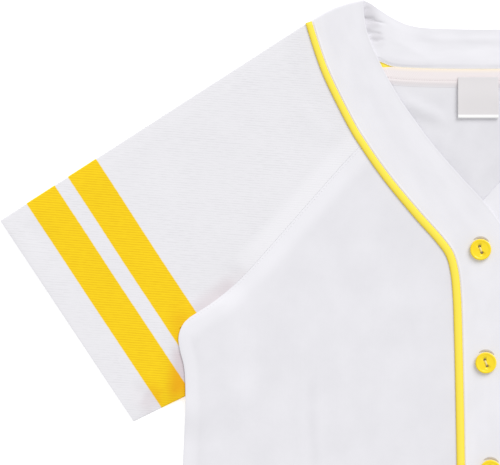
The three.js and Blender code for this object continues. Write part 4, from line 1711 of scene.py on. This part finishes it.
@dataclass(frozen=True)
class NeckTape:
    """The tape over the seam inside the back neck."""

    pattern: SidePattern
    finish: bpy.types.Material
    thread: bpy.types.Material
    half_length: float = 96.0
    width: float = 16.0
    cloth: float = 0.35
    columns: int = 25
    stations: int = 110
    fine_stations: int = 400
    over_seam: float = 0.3
    drop: float = 4.4
    drop_reach: tuple[float, float] = (75.0, 87.0)
    above_back: float = 0.35
    pucker: float = 0.06
    drawn_in: float = 0.22
    sink: float = 0.88
    sink_share: float = 0.66
    stitch_share: float = 0.64

    def rail(self, share: Array) -> Array:
        """Draws the tape, whose ends are cut slanted.

        Args:
            share: Shares of the tape's width.

        Returns:
            Points by station and share, as x and y.
        """
        whole = resampled(with_mirror(self.pattern.back_seam), self.fine_stations)
        line = resampled(whole[np.abs(whole[:, 0]) < self.half_length], self.stations)
        start = self.over_seam + self.drop * smoothstep(np.abs(line[:, 0]), *self.drop_reach)
        across = start[:, None] + share * (self.width - start[:, None])
        return line[:, None] + sideways(line)[:, None] * across[..., None]

    def height_at(self, share: Array, along: Array) -> Array:
        """Gives the height of the middle of the tape, drawn down along its stitching.

        Args:
            share: Shares of the tape's width.
            along: How far along the tape the points lie.

        Returns:
            The heights.
        """
        pucker = self.pucker * np.sin(along * 1.3) - self.drawn_in
        drawn = np.exp(-(((share - self.stitch_share) / 0.06) ** 2)) * pucker
        sunk = self.sink * smoothstep(share, self.sink_share, 1.0)
        return CLOTH + LAYER_GAP + self.cloth / 2 + self.above_back + drawn - sunk

    def build(self) -> list[bpy.types.Object]:
        """Makes the tape and its stitching.

        Returns:
            The pieces.
        """
        share = np.linspace(0, 1, self.columns)
        flat = self.rail(share[None])
        along = travelled(flat[:, 0])
        surface = lifted(flat, self.height_at(share[None], along[:, None]), Side.LEFT)
        uv = paired(along[:, None], (share * self.width)[None])
        mesh = grid_mesh("neck_tape_cloth", surface, uv)
        piece = add_piece(mesh, [self.finish], "tape_cloth", "neck_tape")
        give_wall(piece, self.cloth, 0.16)
        station = int(self.stitch_share * (self.columns - 1))
        seam_line = surface[:, station] + (0, 0, self.cloth / 2 + 0.02)
        stitches = StitchRows(self.thread, pitch=2.2, length=1.9, thickness=0.34)
        return [piece, stitches.build("tape_stitches", [seam_line], "tape_cloth")]


@dataclass(frozen=True)
class SatinLabel:
    """A blank satin label, folded back on itself at its lower edge."""

    finish: bpy.types.Material
    middle: float = 4.0
    width: float = 34.5
    top: float = 64.8
    bottom: float = 99.6
    cloth: float = 0.5
    level: float = 3.05
    hump: float = 0.7
    lift: float = 0.35
    lift_share: float = 0.55
    lip: float = 0.5
    lip_share: float = 0.93
    roll: float = 0.95
    turn_back: float = 24.0
    back_level: float = 2.0
    back_ease: float = 12.0
    curl: float = 0.3
    curl_reach: tuple[float, float] = (8.0, 24.0)
    # How far short of the label's length the painted highlight on the roll starts and becomes full
    highlight_reach: tuple[float, float] = (3.3, 2.4)
    columns: int = 26
    front_rows: int = 30
    roll_rows: int = 11
    back_rows: int = 14

    def rows(self) -> Array:
        """Draws the label's section over its front, its roll and its back.

        Returns:
            Points as down and height.
        """
        end = self.bottom - self.roll
        front = np.linspace(self.top, end, self.front_rows)
        share = (front - self.top) / (self.bottom - self.top)
        rise = self.lift * smoothstep(share, self.lift_share, 1.0)
        rise += self.hump * np.sin(share * math.pi) ** 2
        rise += self.lip * smoothstep(share, self.lip_share, 1.0)
        low = self.level + rise[-1]
        turns = np.linspace(0, math.pi, self.roll_rows)[1:]
        turned = np.stack(
            [end + self.roll * np.sin(turns), low - self.roll * (1 - np.cos(turns))], axis=1)
        back = np.linspace(end, self.bottom - self.turn_back, self.back_rows)[1:]
        under = low - 2 * self.roll
        behind = under - (under - self.back_level) * smoothstep(end - back, 0, self.back_ease)
        return np.concatenate([
            np.stack([front, self.level + rise], axis=1), turned, np.stack([back, behind], axis=1)])

    def build(self) -> bpy.types.Object:
        """Makes the label.

        Returns:
            The piece.
        """
        rows = self.rows()
        over = np.linspace(-0.5, 0.5, self.columns)
        flat = np.zeros((len(rows), self.columns, 2))
        flat[..., 0] = self.middle + over[None] * self.width
        flat[..., 1] = BODY_LENGTH / 2 - rows[:, :1]
        curl = self.curl * (2 * np.abs(over)) ** 5 * smoothstep(
            rows[:, :1] - self.top, *self.curl_reach)
        along = travelled(rows)
        uv = paired(along[:, None], (over * self.width)[None])
        # Painted highlight: the roll and the turned-back part take the satin's pale edge colour
        rim = smoothstep(along, *(self.bottom - self.top - reach for reach in self.highlight_reach))
        edge = np.broadcast_to(rim[:, None], flat.shape[:-1])
        surface = lifted(flat, rows[:, 1:] + curl, Side.LEFT)
        mesh = grid_mesh("label_satin_piece", surface, uv, {"painted_edge_shading": edge})
        piece = add_piece(mesh, [self.finish], "label_satin", "label")
        give_wall(piece, self.cloth, 0.18)
        return piece


def spun(name: str, profile: Sequence[tuple[float, float]], steps: int) -> bpy.types.Mesh:
    """Spins a section about the upright axis into a closed body.

    Args:
        name: The mesh's name.
        profile: The section as radius and height in millimetres, from axis to axis.
        steps: The steps of the full turn.

    Returns:
        The mesh, in metres.
    """
    build = bmesh.new()
    points = [build.verts.new((across * MM, 0, up * MM)) for across, up in profile]
    edges = [build.edges.new(pair) for pair in zip(points, points[1:])]
    bmesh.ops.spin(
        build, geom=points + edges, cent=(0, 0, 0), axis=(0, 0, 1), angle=2 * math.pi,
        steps=steps, use_merge=True)
    closed_shell(build)
    return finished_mesh(name, build)


@dataclass(frozen=True)
class Buttons:
    """Two-hole cast buttons with a dished face, sewn on through their buttonholes."""

    finish: bpy.types.Material
    thread: bpy.types.Material
    places: tuple[tuple[float, float], ...] = (
        (-2.4, 211.4), (2.1, 307.5), (6.0, 398.8), (8.4, 491.0), (10.0, 583.0))
    level: float = TOP_BAND_LEVEL + CLOTH + LAYER_GAP
    radius: float = 9.0
    height: float = 3.0
    rim: float = 0.9
    rim_level: float = 0.62
    foot: tuple[tuple[float, float], ...] = ((0.0, 0.0), (0.72, 0.0), (0.9, 0.16))
    hole: float = 1.35
    spacing: float = 5.3
    turn: float = -1.22
    dish: float = 2.62
    dish_section: tuple[tuple[float, float], ...] = (
        (0.87, 0.04), (0.83, 0.2), (0.79, 0.55), (0.75, 0.85), (0.7, 1.0))
    steps: int = 64
    hole_sides: int = 20
    strands: tuple[float, ...] = (-0.42, 0.0, 0.42)
    strand_radius: float = 0.3
    strand_span: tuple[float, float] = (0.1, 0.9)
    strand_rise: float = 0.45
    strand_drop: float = 1.5
    top_strand_rise: float = 0.12

    def profile(self) -> list[tuple[float, float]]:
        """Draws the section of a button.

        Returns:
            Points as radius and height.
        """
        r, h = self.radius, self.height
        level = h * self.rim_level
        foot = [(r * across, h * up) for across, up in self.foot]
        rounds = [
            (r - self.rim + self.rim * math.cos(a), level + (h - level) * math.sin(a))
            for a in np.linspace(-0.5, math.pi / 2, 7)
        ]
        inner = [(r * across, h - (h - self.dish) * drop) for across, drop in self.dish_section]
        return [*foot, *rounds, *inner, (0, self.dish)]

    def hole_points(self) -> list[tuple[float, float]]:
        """Gives the two holes' middles."""
        x, y = (self.spacing / 2 * part(self.turn) for part in (math.cos, math.sin))
        return [(x, y), (-x, -y)]

    def disc_mesh(self) -> bpy.types.Mesh:
        """Makes a button about the origin, drilled.

        Returns:
            The mesh.
        """
        disc = linked("blank", spun("blank", self.profile(), self.steps))
        build = bmesh.new()
        for x, y in self.hole_points():
            bmesh.ops.create_cone(
                build, cap_ends=True, segments=self.hole_sides, radius1=self.hole * MM,
                radius2=self.hole * MM, depth=4 * self.height * MM,
                matrix=Matrix.Translation((x * MM, y * MM, 0)))
        drill = linked("drill", finished_mesh("drill", build))
        cut = disc.modifiers.new("holes", "BOOLEAN")
        cut.operation = "DIFFERENCE"
        cut.object = drill
        cut.solver = "EXACT"
        evaluated = disc.evaluated_get(bpy.context.evaluated_depsgraph_get())
        mesh = bpy.data.meshes.new_from_object(evaluated)
        bpy.data.objects.remove(disc)
        bpy.data.objects.remove(drill)
        return mesh

    def build(self) -> list[bpy.types.Object]:
        """Makes the buttons and the thread that holds them.

        Returns:
            The pieces.
        """
        pieces = []
        blank = self.disc_mesh()
        for number, (across, down) in enumerate(self.places, 1):
            mesh = blank.copy()
            mesh.name = f"button_{number}_disc"
            y = BODY_LENGTH / 2 - down
            mesh.transform(Matrix.Translation((across * MM, y * MM, self.level * MM)))
            pieces.append(add_piece(mesh, [self.finish], "button_yellow", f"button_{number}"))
            pieces.append(self.sewing(number, across, y))
        bpy.data.meshes.remove(blank)
        return pieces

    def sewing(self, number: int, across: float, y: float) -> bpy.types.Object:
        """Makes the thread between the holes of a button.

        Args:
            number: The button's number.
            across: Its x.
            y: Its y.

        Returns:
            The piece.
        """
        (x0, y0), (x1, y1) = self.hole_points()
        build = bmesh.new()
        side = Vector((-(y1 - y0), x1 - x0, 0)).normalized()
        share = np.linspace(*self.strand_span, 13)
        bow = self.strand_rise - self.strand_drop * np.abs(2.5 * (share - 0.5)) ** 4
        for shift in self.strands:
            points = np.stack([
                across + x0 + (x1 - x0) * share + side.x * shift,
                y + y0 + (y1 - y0) * share + side.y * shift,
                self.level + self.dish + bow + self.top_strand_rise * (shift == 0.0),
            ], axis=1)
            strand = swept("strand", points, self.strand_radius, 8)
            build.from_mesh(strand)
            bpy.data.meshes.remove(strand)
        return add_piece(
            finished_mesh(f"button_{number}_thread", build), [self.thread], "button_yellow")


def swept(
    name: str, centres: Array, radius: float | Array, sides: int, flatten: float = 1.0,
) -> bpy.types.Mesh:
    """Sweeps a round or flattened section along a line.

    Args:
        name: The mesh's name.
        centres: The line's points, in millimetres.
        radius: Half the width of the section, all along or at each point.
        sides: The sides of the section.
        flatten: The section's height as a share of its width.

    Returns:
        The mesh, in metres.
    """
    ways = unit(np.gradient(centres, axis=0))
    across = unit(np.cross(ways, (0, 0, 1)))
    up = np.cross(across, ways)
    angle = np.linspace(0, 2 * math.pi, sides + 1)
    half = np.broadcast_to(radius, len(centres))[:, None, None]
    surface = (
        centres[:, None] + across[:, None] * half * np.cos(angle)[None, :, None]
        + up[:, None] * flatten * half * np.sin(angle)[None, :, None])
    uv = paired(angle[None], travelled(centres)[:, None])
    return grid_mesh(name, surface, uv, is_round=True, has_caps=True)


@dataclass(frozen=True)
class ShadeArcs:
    """Painted shade: a grey-tan thread arc round the top of each button, where the button's shade
    falls on the band.
    """

    buttons: Buttons
    thread: bpy.types.Material
    reach: float = 9.1
    rise: float = 1.3
    level: float = TOP_BAND_LEVEL + CLOTH + 0.1
    span: tuple[float, float] = (38.0, 128.0)
    half_width: float = 1.05
    end_share: float = 0.15
    flatness: float = 0.3
    steps: int = 25

    def build(self) -> list[bpy.types.Object]:
        """Makes the arcs of painted shade.

        Returns:
            The pieces.
        """
        pieces = []
        angle = np.radians(np.linspace(*self.span, self.steps))
        full = np.sin(np.linspace(0, math.pi, self.steps)) ** 0.7
        taper = self.end_share + (1 - self.end_share) * full
        for number, (across, down) in enumerate(self.buttons.places, 1):
            arc = np.stack([
                across + self.reach * np.cos(angle),
                BODY_LENGTH / 2 - down + self.rise + self.reach * np.sin(angle),
                np.full_like(angle, self.level),
            ], axis=1)
            mesh = swept(
                f"shade_arc_{number}", arc, self.half_width * taper, 10, flatten=self.flatness)
            pieces.append(add_piece(mesh, [self.thread], "band_cloth"))
        return pieces


@dataclass(frozen=True)
class StitchRows:
    """Rows of machine stitches, each stitch a small thread bead sunk into the cloth."""

    thread: bpy.types.Material
    pitch: float = 3.0
    length: float = 2.3
    thickness: float = 0.42
    flatness: float = 0.7

    def build(self, name: str, lines: Sequence[Array], slot: str) -> bpy.types.Object:
        """Makes the stitches along some lines.

        Args:
            name: The piece's name.
            lines: Lines of points on top of the cloth, in millimetres.
            slot: The record's material slot.

        Returns:
            The piece.
        """
        build = bmesh.new()
        size = Matrix.Diagonal((
            self.length / 2 * MM, self.thickness / 2 * MM,
            self.flatness * self.thickness / 2 * MM, 1))
        for line in lines:
            count = max(1, int(travelled(line)[-1] / self.pitch))
            ends = resampled(line, 2 * count + 1)
            for start, middle, stop in zip(ends[:-2:2], ends[1::2], ends[2::2]):
                turn = Vector(stop - start).normalized().to_track_quat("X", "Z").to_matrix().to_4x4()
                where = Matrix.Translation(Vector(middle) * MM)
                bmesh.ops.create_icosphere(
                    build, subdivisions=1, radius=1.0, matrix=where @ turn @ size)
        return add_piece(finished_mesh(name, build), [self.thread], slot)


@dataclass(frozen=True)
class Studio:
    """A pale floor, a soft sky and a low sun from the upper right, and the camera above."""

    floor_finish: bpy.types.Material
    floor_half: float = 4.0
    view_middle: tuple[float, float] = (-198.0, 148.1)
    view_width: float = 425.0
    lens: float = 135.0
    sensor: float = 36.0
    sky: float = 0.66
    sun: float = 1.75
    sun_spread: float = 38.0
    sun_height: float = 38.0
    sun_from: float = 58.0

    def lay_floor(self) -> None:
        """Makes the floor."""
        build = bmesh.new()
        bmesh.ops.create_grid(build, x_segments=8, y_segments=8, size=self.floor_half)
        bmesh.ops.translate(build, verts=build.verts, vec=(0, 0, -FLOOR_DEPTH * MM))
        floor = linked("floor", finished_mesh("floor", build))
        floor.data.materials.append(self.floor_finish)

    def light(self) -> None:
        """Makes the sky and the sun."""
        world = bpy.data.worlds.new("studio sky")
        world.use_nodes = True
        backdrop = world.node_tree.nodes["Background"]
        backdrop.inputs["Color"].default_value = linear("#ffffff")
        backdrop.inputs["Strength"].default_value = self.sky
        bpy.context.scene.world = world
        lamp = bpy.data.lights.new("soft sun", "SUN")
        lamp.energy = self.sun
        lamp.angle = math.radians(self.sun_spread)
        height, turn = math.radians(self.sun_height), math.radians(self.sun_from)
        towards = Vector((
            math.cos(height) * math.cos(turn), math.cos(height) * math.sin(turn), math.sin(height)))
        linked("soft sun", lamp).rotation_euler = towards.to_track_quat("Z", "Y").to_euler()

    def set_camera(self) -> None:
        """Makes the camera, straight above the part that the picture shows."""
        scene = bpy.context.scene
        scene.view_settings.view_transform = "Standard"
        scene.view_settings.look = "None"
        lens = bpy.data.cameras.new("camera")
        lens.lens = self.lens
        lens.sensor_width = self.sensor
        lens.clip_start = 0.05
        camera = linked("camera", lens)
        distance = self.view_width * self.lens / self.sensor
        camera.location = Vector((*self.view_middle, distance + TOP_BAND_LEVEL)) * MM
        scene.camera = camera

    def build(self) -> None:
        """Makes the floor, the lights and the camera."""
        for make in (self.lay_floor, self.light, self.set_camera):
            make()


class Jersey:
    """The whole jersey."""

    def __init__(self) -> None:
        """Draws the patterns and makes the finishes."""
        self.patterns = {side: SidePattern(side) for side in Side}
        self.body = SmoothKnit("polyester interlock", "#ebeaef", "#f0eff4", "#e7e6eb").build()
        # Painted shade: the back is the body's knit in darker colours, for the inside seen through
        # the neck
        self.inside = SmoothKnit("interlock painted_shade_tone", "#e8e7ec", "#ecebef", "#e2e1e6").build()
        self.sleeve = RibbedKnit().build()
        self.band = InterlinedCloth().build()
        self.tape = TwillTape().build()
        # Painted highlight on the label's roll, in the pale edge colour
        self.label = Satin("white label satin", "#e1dddf", "#fcfcfc", 0.7, 0.32).build()
        # Painted shade on the piping's sides, in the darker edge colour
        self.piping = Satin("yellow piping satin", "#ffec55", "#ffde3c", 0.9, 0.5).build()
        self.white_thread = SpunThread("white sewing thread", "#f6f5f8", "#e6e5ea").build()
        self.tape_thread = SpunThread("pinkish tape thread", "#e9dfe1", "#d8ccd0").build()
        # Painted shade: the thread of the arcs that stand for the shade above each button
        self.shade_arc_thread = SpunThread("shaded shade_arc thread", "#d3cbc2", "#bfb5ab").build()
        self.pale_thread = SpunThread("pale yellow thread", "#fbeebb", "#e9d284").build()
        self.resin = PolyesterResin("yellow cast resin", "#ffe31c", "#ffdd12", 0.34).build()

    def panels(self) -> list[bpy.types.Object]:
        """Makes the cloth panels and bands.

        Returns:
            The pieces.
        """
        made = [BackPanel(self.patterns[Side.LEFT], self.inside).build()]
        for pattern in self.patterns.values():
            made.append(FrontPanel(pattern, self.body).build())
            made.append(Sleeve(pattern, self.sleeve).build())
        made.append(NeckBands(self.patterns, self.band).build())
        return made

    def trim(self) -> list[bpy.types.Object]:
        """Makes the piping, the tape, the label and the buttons.

        Returns:
            The pieces.
        """
        left = self.patterns[Side.LEFT]
        made = [Piping(pattern, self.piping).build() for pattern in self.patterns.values()]
        made.append(BackBraid(left, self.piping).build())
        made += NeckTape(left, self.tape, self.tape_thread).build()
        made.append(SatinLabel(self.label).build())
        buttons = Buttons(self.resin, self.pale_thread)
        made += buttons.build()
        # Arcs of painted shade above the buttons
        made += ShadeArcs(buttons, self.shade_arc_thread).build()
        return made

    def stitching(self) -> list[bpy.types.Object]:
        """Makes the stitch rows that show, along the raglan seams and the hem.

        Returns:
            The pieces.
        """
        rows = StitchRows(self.white_thread)
        made = []
        for side, pattern in self.patterns.items():
            front = FrontPanel(pattern, self.body)
            raglan = offset_line(pattern.raglan[::-1], RAGLAN_STITCHES)[1:-1]
            bottom = front.outline()[1]
            hems = [bottom[1:-1] + (0, depth) for depth in HEM_STITCHES]
            for name, lines in (("raglan", [raglan]), ("hem", hems)):
                on_top = [lifted(line, front.height_at(line) + CLOTH / 2, side) for line in lines]
                made.append(rows.build(f"{name}_stitches_{side.value}", on_top, "body_cloth"))
        return made


def main() -> None:
    """Builds the jersey and its studio, and reports each piece."""
    logging.basicConfig(level=logging.INFO, format="%(name)s: %(message)s")
    jersey = Jersey()
    for group in (jersey.panels, jersey.trim, jersey.stitching):
        for piece in group():
            log.info("%s: %d faces", piece.name, len(piece.data.polygons))
    Studio(PaleFloor().build()).build()


if __name__ == "__main__":
    main()
